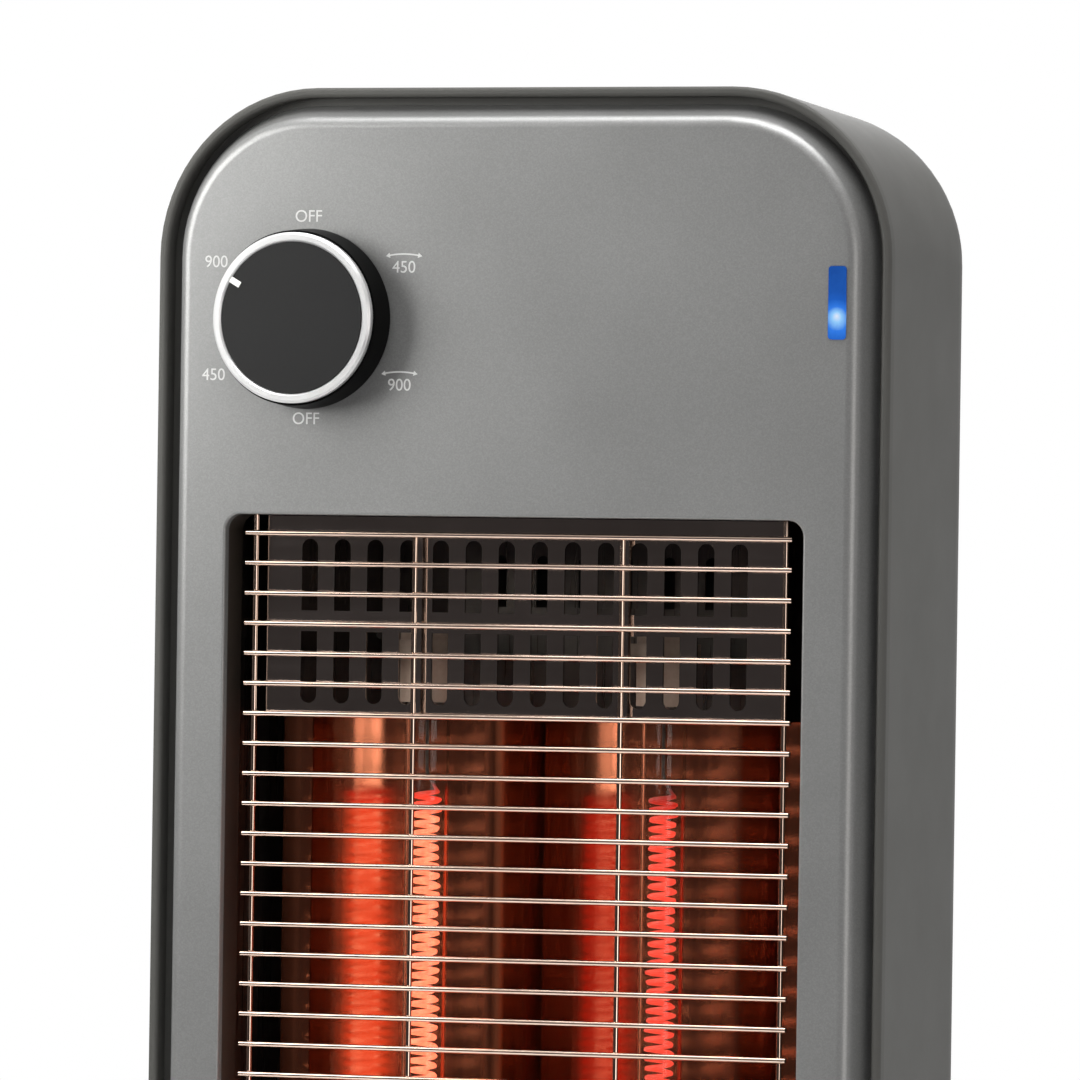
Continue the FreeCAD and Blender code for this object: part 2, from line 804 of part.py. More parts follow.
def make_tube_bracket(end, up):
    """Shelf with a hole for each cap and a foot on the back of the tray."""
    low, high = bracket_level(end, up)
    half = cover_half - sheet - 2.0 * joint_gap
    back = tray_back_y - sheet
    shelf = box_between(Vector(-half, tube_y - bracket_front_margin, low), Vector(half, back, high))
    foot_end = low + up * bracket_foot_height
    foot = box_between(
        Vector(-half, back - bracket_thickness, min(low, foot_end)), Vector(half, back, max(high, foot_end)))
    cuts = []
    for side in (-1, 1):
        start = Vector(side * tube_x, tube_y, low - 1.0)
        cuts.append(Part.makeCylinder(cap_radius + cap_clearance, bracket_thickness + 2.0, start))
    for seat in bracket_screw_seats():
        start = Vector(seat.x, seat.y - 1.0, seat.z)
        cuts.append(Part.makeCylinder(screw_radius + screw_hole_gap, bracket_thickness + 2.0, start, BACK))
    return cut_all(joined([shelf, foot]), cuts)


# Coiled wire

def arc_from(start, direction, end):
    """Arc that leaves a point along a direction and reaches another point."""
    chord = end - start
    chord_direction = Vector(chord).normalize()
    lean = (direction + chord_direction).normalize()
    reach = chord.Length / (2.0 * lean.dot(chord_direction))
    return Part.Arc(start, start + lean * reach, end).toShape()


def biarc(start, start_direction, end, end_direction):
    """Two arcs that join smoothly between two points with given directions."""
    span = end - start
    along = span.dot(start_direction + end_direction)
    spread = 2.0 * (1.0 - start_direction.dot(end_direction))
    reach = (math.sqrt(along * along + spread * span.dot(span)) - along) / spread
    first = start + start_direction * reach
    second = end - end_direction * reach
    middle = (first + second) * 0.5
    return [arc_from(start, start_direction, middle), arc_from(middle, (second - first).normalize(), end)]


def coil_points(centre, radius, low, high, turns):
    """Points and directions of a coil, one for each quarter turn."""
    climb = (high - low) / (2.0 * math.pi * turns)
    stations = []
    for quarter in range(4 * turns + 1):
        turn = quarter * math.pi / 2.0
        point = Vector(
            centre.x + radius * math.cos(turn), centre.y + radius * math.sin(turn), low + climb * turn)
        direction = Vector(-radius * math.sin(turn), radius * math.cos(turn), climb).normalize()
        stations.append((point, direction))
    return stations


def coil_edges(stations):
    """Smooth arcs through the stations of a coil."""
    edges = []
    for (start, leaving), (end, arriving) in zip(stations, stations[1:]):
        edges += biarc(start, leaving, end, arriving)
    return edges


def wire_along(edges, direction, radius):
    """Round wire swept along joined edges."""
    path = Part.Wire(edges)
    start = edges[0].valueAt(edges[0].FirstParameter)
    ring = Part.Wire([Part.Circle(start, direction, radius).toShape()])
    return path.makePipeShell([ring], True, False)


def least_gap(edges, wire_radius, skip_length):
    """Smallest gap of a wire to itself, measured on points along it."""
    points = []
    step = wire_radius
    look_ahead = 400
    travelled = 0.0
    for edge in edges:
        count = max(2, int(edge.Length / step))
        for number, point in enumerate(edge.discretize(count + 1)[:-1]):
            points.append((travelled + number * edge.Length / count, point))
        travelled += edge.Length
    least = travelled
    for index, (place, point) in enumerate(points):
        for other_place, other in points[index + 1:index + look_ahead]:
            if other_place - place > skip_length:
                least = min(least, point.distanceToPoint(other))
    return least - 2.0 * wire_radius


def make_filament(side, name):
    """Carbon spiral with straight leads on the tube's axis."""
    centre = Vector(side * tube_x, tube_y, 0)
    low = window_low + spiral_drop
    high = window_high - spiral_drop
    stations = coil_points(centre, spiral_radius, low, high, spiral_turns)
    lead_low = Vector(centre.x, centre.y, tube_low)
    lead_high = Vector(centre.x, centre.y, tube_high)
    join_low = Vector(centre.x, centre.y, low - spiral_lead_rise)
    join_high = Vector(centre.x, centre.y, high + spiral_lead_rise)
    first_point, first_direction = stations[0]
    last_point, last_direction = stations[-1]
    edges = [Part.LineSegment(lead_low, join_low).toShape()]
    edges += biarc(join_low, UP, first_point, first_direction)
    edges += coil_edges(stations)
    edges += biarc(last_point, last_direction, join_high, UP)
    edges.append(Part.LineSegment(join_high, lead_high).toShape())
    gap = least_gap(edges, spiral_wire_radius, math.pi * spiral_radius)
    print("least gap of", name, "to itself: %.2f mm" % gap)
    return wire_along(edges, UP, spiral_wire_radius)


def make_plunger_spring():
    """Light coil between the plunger's collar and the roof of its chamber."""
    centre = Vector(0, tip_y, 0)
    low = tip_collar_top_z + spring_wire_radius
    high = tip_roof_z - spring_wire_radius
    stations = coil_points(centre, spring_radius, low + tip_hole_gap, high - tip_hole_gap, spring_turns)
    edges = coil_edges(stations)
    gap = least_gap(edges, spring_wire_radius, math.pi * spring_radius)
    print("least gap of plunger_spring to itself: %.2f mm" % gap)
    return wire_along(edges, stations[0][1], spring_wire_radius)


# Knob and switch

def d_rod(radius, flat_depth, front, back):
    """Shaft along the depth with a flat on its upper side."""
    rod = Part.makeCylinder(radius, back - front, Vector(knob_x, front, knob_z), BACK)
    flat_z = knob_z + radius - flat_depth
    flat = box_between(
        Vector(knob_x - 2.0 * radius, front - 1.0, flat_z),
        Vector(knob_x + 2.0 * radius, back + 1.0, knob_z + 2.0 * radius))
    return rod.cut(flat)


def knob_seat_height():
    """Height over the panel at which the ring and the face disc sit."""
    return knob_height - knob_ring_height + knob_face_recess


def make_knob_body():
    """Hollow tapered knob with a hub for the shaft."""
    seat = knob_seat_height()
    web_back = seat - knob_web
    inner = knob_skirt_radius - knob_wall - knob_taper
    profile = [
        (0.0, seat), (knob_skirt_radius - knob_taper, seat), (knob_skirt_radius, knob_panel_gap),
        (knob_skirt_radius - knob_wall, knob_panel_gap), (inner, web_back), (knob_hub_radius, web_back),
        (knob_hub_radius, knob_panel_gap), (0.0, knob_panel_gap),
    ]
    body = facing_front(turned(profile), knob_x, face_y, knob_z)
    hub_end = face_y - web_back
    bore = d_rod(shaft_radius + knob_fit_gap, shaft_flat_depth, hub_end, face_y)
    return body.cut(bore)


def make_knob_ring():
    """Bright ring round the knob's face."""
    seat = knob_seat_height()
    inner = knob_ring_outer_radius - knob_ring_width
    chamfer = knob_ring_width / 4.0
    top = seat + knob_ring_height
    profile = [
        (inner, seat), (knob_ring_outer_radius, seat), (knob_ring_outer_radius, top - chamfer),
        (knob_ring_outer_radius - chamfer, top), (inner + chamfer, top), (inner, top - chamfer),
    ]
    return facing_front(turned(profile), knob_x, face_y, knob_z)


def make_knob_face():
    """Disc inside the ring, a little below its edge."""
    seat = knob_seat_height()
    radius = knob_ring_outer_radius - knob_ring_width - knob_fit_gap
    disc = Part.makeCylinder(radius, knob_height - seat, Vector(0, 0, seat))
    return facing_front(disc, knob_x, face_y, knob_z)


def make_switch_shaft():
    """Round shaft with a flat for the knob's hub."""
    front = face_y - knob_seat_height() + knob_web + knob_fit_gap
    flat_back = face_y
    tip = d_rod(shaft_radius, shaft_flat_depth, front, flat_back)
    back = chassis_back_y + switch_depth / 2.0
    rod = Part.makeCylinder(shaft_radius, back - flat_back, Vector(knob_x, flat_back, knob_z), BACK)
    return joined([tip, rod])


def make_rotary_switch():
    """Square switch with a bushing through the chassis plate and blades at its back."""
    half = switch_size / 2.0
    back = chassis_back_y + switch_depth
    box = rounded_block(
        half, knob_z - half, knob_z + half, half / 5.0, chassis_back_y, back, knob_x)
    bushing_front = chassis_front_y - switch_bushing_rise * switch_nut_height
    start = Vector(knob_x, bushing_front, knob_z)
    bushing = Part.makeCylinder(switch_bushing_radius, chassis_back_y - bushing_front, start, BACK)
    parts = [box, bushing]
    step = switch_size / switch_blade_count
    for number in range(switch_blade_count):
        x = knob_x - half + step * (number + 0.5)
        low = Vector(x - sheet / 2.0, back, knob_z - half / 2.0)
        parts.append(Part.makeBox(sheet, switch_depth / 2.5, half / 2.5, low))
    bore_depth = chassis_back_y + switch_depth / 2.0 + shaft_running_gap - bushing_front
    bore = Part.makeCylinder(shaft_radius + shaft_running_gap, bore_depth, start, BACK)
    return joined(parts).cut(bore)


def make_switch_nut():
    """Hexagon nut on the switch's bushing, in front of the chassis plate."""
    corner = switch_nut_flats / math.sqrt(3.0)
    points = [around(corner, 60.0 * side) for side in range(7)]
    nut = Part.Face(Part.makePolygon(points)).extrude(Vector(0, 0, switch_nut_height))
    nut = nut.cut(Part.makeCylinder(switch_bushing_radius + screw_gap, switch_nut_height))
    return facing_front(nut, knob_x, chassis_front_y, knob_z)


# Indicator light

def lens_prism(grow, front, back):
    """The light's outline run through a depth."""
    return rounded_block(
        lens_width / 2.0 + grow, lens_z - lens_height / 2.0 - grow, lens_z + lens_height / 2.0 + grow,
        lens_corner_radius + grow, front, back, lens_x)


def make_indicator_lens():
    """Clear bar with a shoulder behind the panel."""
    bar = lens_prism(0.0, face_y - lens_proud, chassis_front_y - board_thickness - led_size / 2.0)
    shoulder = lens_prism(lens_shoulder, panel_back_y, panel_back_y + lens_shoulder_thickness)
    return joined([bar, shoulder.common(panel_block(panel_wall + lens_hole_gap))])


def make_led_board():
    """Small circuit board on the chassis plate with one lamp behind the lens."""
    back = chassis_front_y
    board = rounded_block(
        board_width / 2.0, lens_z - board_height / 2.0, lens_z + board_height / 2.0, lens_corner_radius,
        back - board_thickness, back, lens_x - board_width / 2.0 + led_size)
    lamp = rounded_block(
        led_size / 2.0, lens_z - led_size / 2.0, lens_z + led_size / 2.0, led_size / 8.0,
        back - board_thickness - led_size / 2.0, back - board_thickness, lens_x)
    return joined([board, lamp])


# Pieces on the back of the tray

def make_thermal_cutout():
    """Disc thermostat on a flange, with two blades."""
    z = (reflector_high + reflector_low) / 2.0
    half = cutout_flange_width / 2.0
    flange = rounded_block(
        half, z - cutout_radius / 2.0, z + cutout_radius / 2.0, cutout_radius / 3.0,
        tray_back_y, tray_back_y + sheet)
    disc = Part.makeCylinder(cutout_radius, cutout_height, Vector(0, tray_back_y, z), BACK)
    parts = [flange, disc]
    for side in (-1, 1):
        x = side * cutout_radius / 2.0 - sheet / 2.0
        low = Vector(x, tray_back_y + cutout_height, z - cutout_radius / 3.0)
        parts.append(Part.makeBox(sheet, cutout_blade_height, cutout_radius / 1.5, low))
    return joined(parts)


def make_terminal_block():
    """Row of screw terminals with open wire mouths below."""
    low_z = tray_low + terminal_rise
    low = Vector(-terminal_width / 2.0, tray_back_y, low_z)
    block = Part.makeBox(terminal_width, terminal_depth, terminal_height, low)
    step = terminal_width / terminal_ways
    cuts = []
    for way in range(terminal_ways):
        x = low.x + step * (way + 0.5)
        mouth = Vector(x, tray_back_y + terminal_depth / 3.0, low_z - 1.0)
        cuts.append(Part.makeCylinder(step / 4.0, terminal_height / 2.0, mouth))
        top = Vector(x, tray_back_y + terminal_depth + 1.0, low_z + terminal_height / 2.0)
        cuts.append(Part.makeCylinder(step / 3.5, terminal_depth / 3.0, top, FRONT))
    return cut_all(block, cuts)


# Neck and swing bearing

def neck_screw_places():
    """Points under the socket floor where the neck screws pass."""
    return [around(neck_screw_circle, 45.0 + 90.0 * number, head_low - 1.0) for number in range(4)]


def gear_screw_places():
    """Points under the sector gear where its screws sit."""
    return [around(gear_screw_circle, 30.0 + 120.0 * number, gear_low_z) for number in range(3)]


def make_neck():
    """Waisted column with a journal that runs in the base."""
    lip = neck_height / 6.0
    profile = [
        (neck_bore_radius, retaining_top_z), (journal_radius, retaining_top_z),
        (journal_radius, neck_shoulder_z), (neck_foot_radius, neck_shoulder_z),
        (neck_foot_radius, neck_shoulder_z + lip),
        (neck_waist_radius, neck_shoulder_z + neck_height / 2.0, neck_top_radius, head_low - lip / 2.0),
        (neck_top_radius, head_low), (neck_bore_radius, head_low),
    ]
    cuts = []
    for place in neck_screw_places():
        start = Vector(place.x, place.y, head_low)
        cuts.append(Part.makeCylinder(screw_radius + screw_gap, neck_screw_grip + 1.0, start, DOWN))
    for place in gear_screw_places():
        start = Vector(place.x, place.y, retaining_top_z)
        cuts.append(Part.makeCylinder(screw_radius + screw_gap, gear_screw_grip + 1.0, start))
    return cut_all(turned(profile), cuts)


def make_pivot_bush():
    """Flanged bush that carries the neck."""
    bore = journal_radius + journal_running_gap
    return turned([
        (bore, collar_low_z), (bush_radius, collar_low_z), (bush_radius, base_height),
        (bush_radius + bush_flange_width, base_height), (bush_radius + bush_flange_width, neck_shoulder_z),
        (bore, neck_shoulder_z),
    ])


def make_retaining_plate():
    """Steel ring under the base cover that keeps the neck from lifting out."""
    ring = turned([
        (neck_bore_radius, gear_top_z), (retaining_radius, gear_top_z),
        (retaining_radius, retaining_top_z), (neck_bore_radius, retaining_top_z),
    ])
    hole = screw_radius + screw_hole_gap
    depth = gear_thickness + 2.0 * retaining_thickness
    return cut_all(ring, [Part.makeCylinder(hole, depth, place) for place in gear_screw_places()])


def tooth_points(teeth, centre_angle):
    """Outline of one involute tooth, from one root to the other."""
    pitch = gear_module * teeth / 2.0
    base = pitch * math.cos(math.radians(pressure_angle))
    root = pitch - gear_root_share * gear_module
    tip = pitch + gear_module
    flank = math.tan(math.radians(pressure_angle)) - math.radians(pressure_angle)
    half = math.pi / (2.0 * teeth) - gear_backlash / (4.0 * pitch) + flank
    steps = 5
    start = max(base, root)
    rises = [start + (tip - start) * step / steps for step in range(steps + 1)]
    side = []
    for radius in rises:
        lean = math.acos(min(1.0, base / radius))
        side.append((radius, half - (math.tan(lean) - lean)))
    if root < base:
        side.insert(0, (root, half))
    points = [(radius, -angle) for radius, angle in side]
    points += [(radius, angle) for radius, angle in reversed(side)]
    return [around(radius, centre_angle + math.degrees(angle)) for radius, angle in points]


def make_sector_gear():
    """Toothed sector under the neck, facing the motor."""
    step = 360.0 / sector_teeth_full
    outline = [Vector(0, 0, 0)]
    for number in range(sector_teeth_made):
        outline += tooth_points(sector_teeth_full, 90.0 + step * (number - (sector_teeth_made - 1) / 2.0 + 0.5))
    outline.append(outline[0])
    wedge = Part.Face(Part.makePolygon(outline)).extrude(Vector(0, 0, gear_thickness))
    hub = Part.makeCylinder(retaining_radius, gear_thickness)
    gear = joined([wedge, hub])
    gear.translate(Vector(0, 0, gear_low_z))
    hole = screw_radius + screw_hole_gap
    depth = 4.0 * gear_thickness
    cuts = [Part.makeCylinder(neck_bore_radius, depth, Vector(0, 0, gear_low_z - gear_thickness))]
    for place in gear_screw_places():
        cuts.append(Part.makeCylinder(hole, depth, place - UP * gear_thickness))
    return cut_all(gear, cuts)


def make_motor_pinion():
    """Small gear on the motor's shaft, in mesh with the sector."""
    step = 360.0 / pinion_teeth
    outline = []
    for number in range(pinion_teeth):
        outline += tooth_points(pinion_teeth, 270.0 + step * (number + 0.5))
    outline.append(outline[0])
    height = gear_thickness + 2.0 * pinion_overhang
    gear = Part.Face(Part.makePolygon(outline)).extrude(Vector(0, 0, height))
    gear = gear.cut(Part.makeCylinder(motor_shaft_radius + knob_fit_gap, height))
    gear.translate(Vector(0, gear_centre_distance, gear_low_z - pinion_overhang))
    return gear


def make_motor_shaft():
    """Output shaft of the motor."""
    low = motor_top_z - motor_shaft_depth
    high = gear_top_z + pinion_overhang
    return Part.makeCylinder(motor_shaft_radius, high - low, Vector(0, gear_centre_distance, low))


def motor_ear_places():
    """X of the two motor ears."""
    return [-motor_ear_reach, motor_ear_reach]


def make_oscillation_motor():
    """Flat synchronous motor with two ears."""
    can = Part.makeCylinder(motor_radius, motor_height, Vector(0, gear_centre_distance, motor_low_z))
    ear_low = motor_top_z - motor_ear_thickness
    parts = [can]
    cuts = []
    for x in motor_ear_places():
        centre = Vector(x, gear_centre_distance, ear_low)
        parts.append(Part.makeCylinder(motor_ear_radius, motor_ear_thickness, centre))
        corner = Vector(min(0.0, x), gear_centre_distance - motor_ear_radius, ear_low)
        parts.append(Part.makeBox(abs(x), 2.0 * motor_ear_radius, motor_ear_thickness, corner))
        start = centre - UP * motor_ear_thickness
        cuts.append(Part.makeCylinder(screw_radius + screw_hole_gap, motor_height, start))
    bore_low = motor_top_z - motor_shaft_depth - shaft_running_gap
    start = Vector(0, gear_centre_distance, bore_low)
    cuts.append(Part.makeCylinder(motor_shaft_radius + shaft_running_gap, motor_height, start))
    return cut_all(joined(parts), cuts)


# Round base

def base_profile(wall):
    """Half outline of the base's dome, drawn in by a wall."""
    side = base_radius - wall
    drop = dome_drop_share * wall
    shoulder_rise = shoulder_bulge * (base_shoulder_z - base_skirt_top)
    shoulder_mid_r = base_radius - base_shoulder_inset / 4.0 - shoulder_side_share * wall
    shoulder_mid_z = base_skirt_top + shoulder_rise - shoulder_drop_share * wall
    shoulder_end_r = base_radius - base_shoulder_inset - shoulder_end_share * wall
    return [
        (0.0, plate_bottom_z), (side, plate_bottom_z), (side, base_skirt_top),
        (shoulder_mid_r, shoulder_mid_z, shoulder_end_r, base_shoulder_z - drop),
        (base_crown_radius, base_crown_z - drop, base_collar_radius, base_height - base_collar_step - drop),
        (0.0, base_height - base_collar_step - drop),
    ]


def make_base_cover():
    """Domed cover with the collar of the swing bearing and posts for the screws."""
    outer = turned(base_profile(0.0))
    shell = outer.cut(turned(base_profile(base_wall)))
    collar = Part.makeCylinder(bush_radius + collar_wall, collar_height, Vector(0, 0, collar_low_z))
    adds = [collar]
    cuts = [Part.makeCylinder(bush_radius + screw_gap, base_height, Vector(0, 0, plate_bottom_z))]
    for angle in base_post_angles:
        foot = around(base_post_circle, angle, plate_top_z)
        adds.append(Part.makeCylinder(post_radius, base_height, foot).common(outer))
        cuts.append(Part.makeCylinder(screw_radius + screw_gap, base_screw_grip + 1.0, foot))
    start = Vector(0, ballast_outer_radius, gland_z)
    cuts.append(Part.makeCylinder(gland_nose_radius + gland_gap, 2.0 * base_shoulder_inset, start, BACK))
    return cut_all(joined([shell] + adds), cuts)


def foot_places(z):
    """Centres of the rubber feet at one height."""
    return [around(foot_circle, 90.0 + 360.0 * (number + 0.5) / foot_count, z) for number in range(foot_count)]


def make_base_plate():
    """Floor of the base with seats for the feet and posts for the motor."""
    radius = base_radius - base_wall - plate_gap
    plate = Part.makeCylinder(radius, plate_thickness, Vector(0, 0, plate_bottom_z))
    ear_low = motor_top_z - motor_ear_thickness
    adds = []
    cuts = []
    for x in motor_ear_places():
        foot = Vector(x, gear_centre_distance, plate_bottom_z)
        adds.append(Part.makeCylinder(motor_post_radius, ear_low - plate_bottom_z, foot))
        start = Vector(x, gear_centre_distance, ear_low)
        cuts.append(Part.makeCylinder(screw_radius + screw_gap, base_screw_grip + 1.0, start, DOWN))
    for place in foot_places(plate_bottom_z - 1.0):
        cuts.append(Part.makeCylinder(foot_radius + foot_gap, foot_seat + 1.0, place))
    for angle in base_post_angles:
        place = around(base_post_circle, angle, plate_bottom_z - 1.0)
        cuts.append(Part.makeCylinder(screw_radius + screw_hole_gap, plate_thickness + 2.0, place))
    place = Vector(0, tip_y, plate_bottom_z - 1.0)
    cuts.append(Part.makeCylinder(tip_stem_radius + tip_hole_gap, plate_thickness + 2.0, place))
    return cut_all(joined([plate] + adds), cuts)


def make_ballast_ring():
    """Cast ring that keeps the heater upright, with bays where it would meet the motor or the tip switch."""
    floor = Vector(0, 0, plate_top_z)
    ring = Part.makeCylinder(ballast_outer_radius, ballast_height, floor)
    bays = [Part.makeCylinder(ballast_inner_radius, ballast_height, floor)]
    motor_floor = Vector(0, gear_centre_distance, motor_low_z - ballast_bay_gap)
    bays.append(Part.makeCylinder(motor_radius + ballast_bay_gap, ballast_height, motor_floor))
    for x in motor_ear_places():
        post_floor = Vector(x, gear_centre_distance, plate_top_z)
        bays.append(Part.makeCylinder(motor_post_radius + ballast_bay_gap, ballast_height, post_floor))
    bay_width = tip_body_half_width + ballast_bay_gap
    bay_depth = tip_body_half_depth + ballast_bay_gap
    low = Vector(-bay_width, tip_y - bay_depth, plate_top_z)
    bays.append(box_between(low, Vector(bay_width, tip_y + bay_depth, plate_top_z + ballast_height)))
    return cut_all(ring, bays)


def make_rubber_feet():
    """Soft pads under the base."""
    feet = []
    for place in foot_places(0.0):
        pad = Part.makeCylinder(foot_radius, foot_height, place)
        feet.append(pad.makeFillet(foot_seat / 2.0, [edge for edge in pad.Edges if edge.BoundBox.ZMax < 0.01]))
    return Part.makeCompound(feet)


def make_cable_gland():
    """Bush in the skirt of the base where the mains lead enters."""
    flange_back = math.sqrt((base_radius - base_wall) ** 2 - gland_flange_radius ** 2) - gland_gap
    nose_end = math.sqrt(base_radius ** 2 - gland_nose_radius ** 2) - gland_inset
    flange_front = flange_back - gland_flange_thickness
    start = Vector(0, flange_front, gland_z)
    flange = Part.makeCylinder(gland_flange_radius, gland_flange_thickness, start, BACK)
    nose = Part.makeCylinder(gland_nose_radius, nose_end - flange_front, start, BACK)
    hole = Part.makeCylinder(gland_hole_radius, nose_end - flange_front, start, BACK)
    return joined([flange, nose]).cut(hole)


# Tip-over switch

def make_tip_switch():
    """Switch case with a chamber and a guide for the plunger."""
    low = Vector(-tip_body_half_width, tip_y - tip_body_half_depth, plate_top_z)
    high = Vector(tip_body_half_width, tip_y + tip_body_half_depth, tip_body_top_z)
    foot = Vector(0, tip_y, plate_top_z)
    chamber = Part.makeCylinder(tip_chamber_radius, tip_roof_z - plate_top_z, foot)
    guide_top = tip_stem_top_z + tip_end_gap
    guide = Part.makeCylinder(tip_stem_radius + shaft_running_gap, guide_top - plate_top_z, foot)
    return cut_all(box_between(low, high), [chamber, guide])


def make_tip_plunger():
    """Feeler that stands on the floor and is held up by it."""
    profile = [
        (0.0, 0.0), (tip_foot_radius, 0.0), (tip_foot_radius, tip_foot_height),
        (tip_stem_radius, tip_foot_height), (tip_stem_radius, tip_collar_low_z),
        (tip_collar_radius, tip_collar_low_z),
        (tip_collar_radius, tip_collar_top_z), (tip_stem_radius, tip_collar_top_z),
        (tip_stem_radius, tip_stem_top_z), (0.0, tip_stem_top_z),
    ]
    plunger = turned(profile)
    plunger.translate(Vector(0, tip_y, 0))
    return plunger


# Fasteners

def make_housing_screws():
    """Long screws in the wells of the rear housing."""
    seat_y = chassis_back_y + post_boss_length + well_floor
    length = well_floor + housing_screw_grip
    seats = [Vector(x, seat_y, z) for x, z in housing_post_places()]
    return Part.makeCompound([screw(seat, FRONT, length) for seat in seats])


def make_panel_screws():
    """Screws from behind the chassis plate into the panel."""
    length = chassis_thickness + panel_screw_grip
    seats = [Vector(x, chassis_back_y, z) for x, z in panel_boss_places()]
    return Part.makeCompound([screw(seat, FRONT, length) for seat in seats])


def make_tray_screws():
    """Screws through the tray and the liner into the chassis plate."""
    length = sheet + liner_flange_thickness + chassis_thickness + tray_boss_length / 2.0
    seats = [Vector(x, tray_front_y, z) for x, z in tray_screw_places()]
    return Part.makeCompound([screw(seat, FRONT, length) for seat in seats])


def make_bracket_screws():
    """Screws that hold the tube brackets on the tray."""
    length = bracket_thickness + 2.0 * sheet
    return Part.makeCompound([screw(seat, BACK, length) for seat in bracket_screw_seats()])


def make_neck_screws():
    """Screws from the socket floor down into the neck."""
    seats = [Vector(place.x, place.y, head_low + socket_floor) for place in neck_screw_places()]
    return Part.makeCompound([screw(seat, DOWN, socket_floor + neck_screw_grip) for seat in seats])


def make_gear_screws():
    """Screws through the sector gear and the retaining plate into the neck."""
    length = gear_thickness + retaining_thickness + gear_screw_grip
    return Part.makeCompound([screw(place, UP, length) for place in gear_screw_places()])


def make_motor_screws():
    """Screws that hold the motor's ears on their posts."""
    seats = [Vector(x, gear_centre_distance, motor_top_z) for x in motor_ear_places()]
    return Part.makeCompound([screw(seat, DOWN, motor_ear_thickness + base_screw_grip) for seat in seats])


def make_base_screws():
    """Screws from below that close the base."""
    seats = [around(base_post_circle, angle, plate_bottom_z) for angle in base_post_angles]
    return Part.makeCompound([screw(seat, UP, plate_thickness + base_screw_grip - 1.0) for seat in seats])


# All nodes by name

def build_nodes():
    """Every piece of the heater."""
    nodes = {
        "rear_housing": make_rear_housing(),
        "front_bezel": make_front_bezel(),
        "front_panel": make_front_panel(),
        "window_liner": make_window_liner(),
        "wire_guard": make_wire_guard(),
        "reflector_tray": make_reflector_tray(),
        "reflector": make_reflector(),
        "upper_vent_cover": make_vent_cover(reflector_high, window_high - joint_gap, window_high, 1),
        "lower_vent_cover": make_vent_cover(window_low + joint_gap, reflector_low, window_low, -1),
        "tube_bracket_upper": make_tube_bracket(tube_high, 1),
        "tube_bracket_lower": make_tube_bracket(tube_low, -1),
        "rotary_switch": make_rotary_switch(),
        "switch_nut": make_switch_nut(),
        "indicator_lens": make_indicator_lens(),
        "led_board": make_led_board(),
        "thermal_cutout": make_thermal_cutout(),
        "terminal_block": make_terminal_block(),
        "neck": make_neck(),
        "retaining_plate": make_retaining_plate(),
        "sector_gear": make_sector_gear(),
        "knob_body": make_knob_body(),
        "knob_ring": make_knob_ring(),
        "knob_face": make_knob_face(),
        "switch_shaft": make_switch_shaft(),
        "base_cover": make_base_cover(),
        "base_plate": make_base_plate(),
        "ballast_ring": make_ballast_ring(),
        "rubber_feet": make_rubber_feet(),
        "pivot_bush": make_pivot_bush(),
        "oscillation_motor": make_oscillation_motor(),
        "motor_shaft": make_motor_shaft(),
        "motor_pinion": make_motor_pinion(),
        "cable_gland": make_cable_gland(),
        "tip_switch": make_tip_switch(),
        "tip_plunger": make_tip_plunger(),
        "plunger_spring": make_plunger_spring(),
        "housing_screws": make_housing_screws(),
        "panel_screws": make_panel_screws(),
        "tray_screws": make_tray_screws(),
        "bracket_screws": make_bracket_screws(),
        "neck_screws": make_neck_screws(),
        "gear_screws": make_gear_screws(),
        "motor_screws": make_motor_screws(),
        "base_screws": make_base_screws(),
    }
    for side, word in ((-1, "left"), (1, "right")):
        nodes["quartz_tube_" + word] = make_quartz_tube(side)
        nodes["filament_" + word] = make_filament(side, "filament_" + word)
        nodes["ceramic_cap_" + word + "_upper"] = make_ceramic_cap(side, tube_high, 1)
        nodes["ceramic_cap_" + word + "_lower"] = make_ceramic_cap(side, tube_low, -1)
    return nodes


os.makedirs("parts", exist_ok=True)
for name, shape in build_nodes().items():
    print("%-26s solids %d valid %s volume %.1f" % (name, len(shape.Solids), shape.isValid(), shape.Volume))
    shape.exportStep("parts/" + name + ".step")
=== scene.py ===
import json
import math

import bpy
from mathutils import Matrix, Vector


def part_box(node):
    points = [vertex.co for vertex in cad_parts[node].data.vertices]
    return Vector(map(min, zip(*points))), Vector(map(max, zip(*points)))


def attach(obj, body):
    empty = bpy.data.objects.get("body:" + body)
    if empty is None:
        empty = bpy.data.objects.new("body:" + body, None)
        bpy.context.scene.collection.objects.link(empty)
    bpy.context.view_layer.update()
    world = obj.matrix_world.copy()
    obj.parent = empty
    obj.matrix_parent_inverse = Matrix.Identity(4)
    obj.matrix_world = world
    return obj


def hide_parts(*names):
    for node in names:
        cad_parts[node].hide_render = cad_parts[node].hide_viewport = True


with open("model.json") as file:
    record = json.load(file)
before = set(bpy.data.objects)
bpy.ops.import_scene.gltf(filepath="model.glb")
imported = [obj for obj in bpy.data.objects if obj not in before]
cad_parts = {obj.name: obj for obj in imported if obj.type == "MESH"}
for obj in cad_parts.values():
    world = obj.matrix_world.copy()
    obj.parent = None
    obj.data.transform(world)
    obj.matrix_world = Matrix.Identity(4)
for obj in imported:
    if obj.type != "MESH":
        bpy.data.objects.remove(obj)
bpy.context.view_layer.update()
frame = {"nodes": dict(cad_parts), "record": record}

# Camera of the photograph, in metres and degrees
camera_place = Vector((1.2076, -3.0572, 0.4298))
camera_yaw = 21.744
camera_tilt = -0.184
camera_roll = -0.820
camera_lens = 355.1
camera_sensor = 36.0

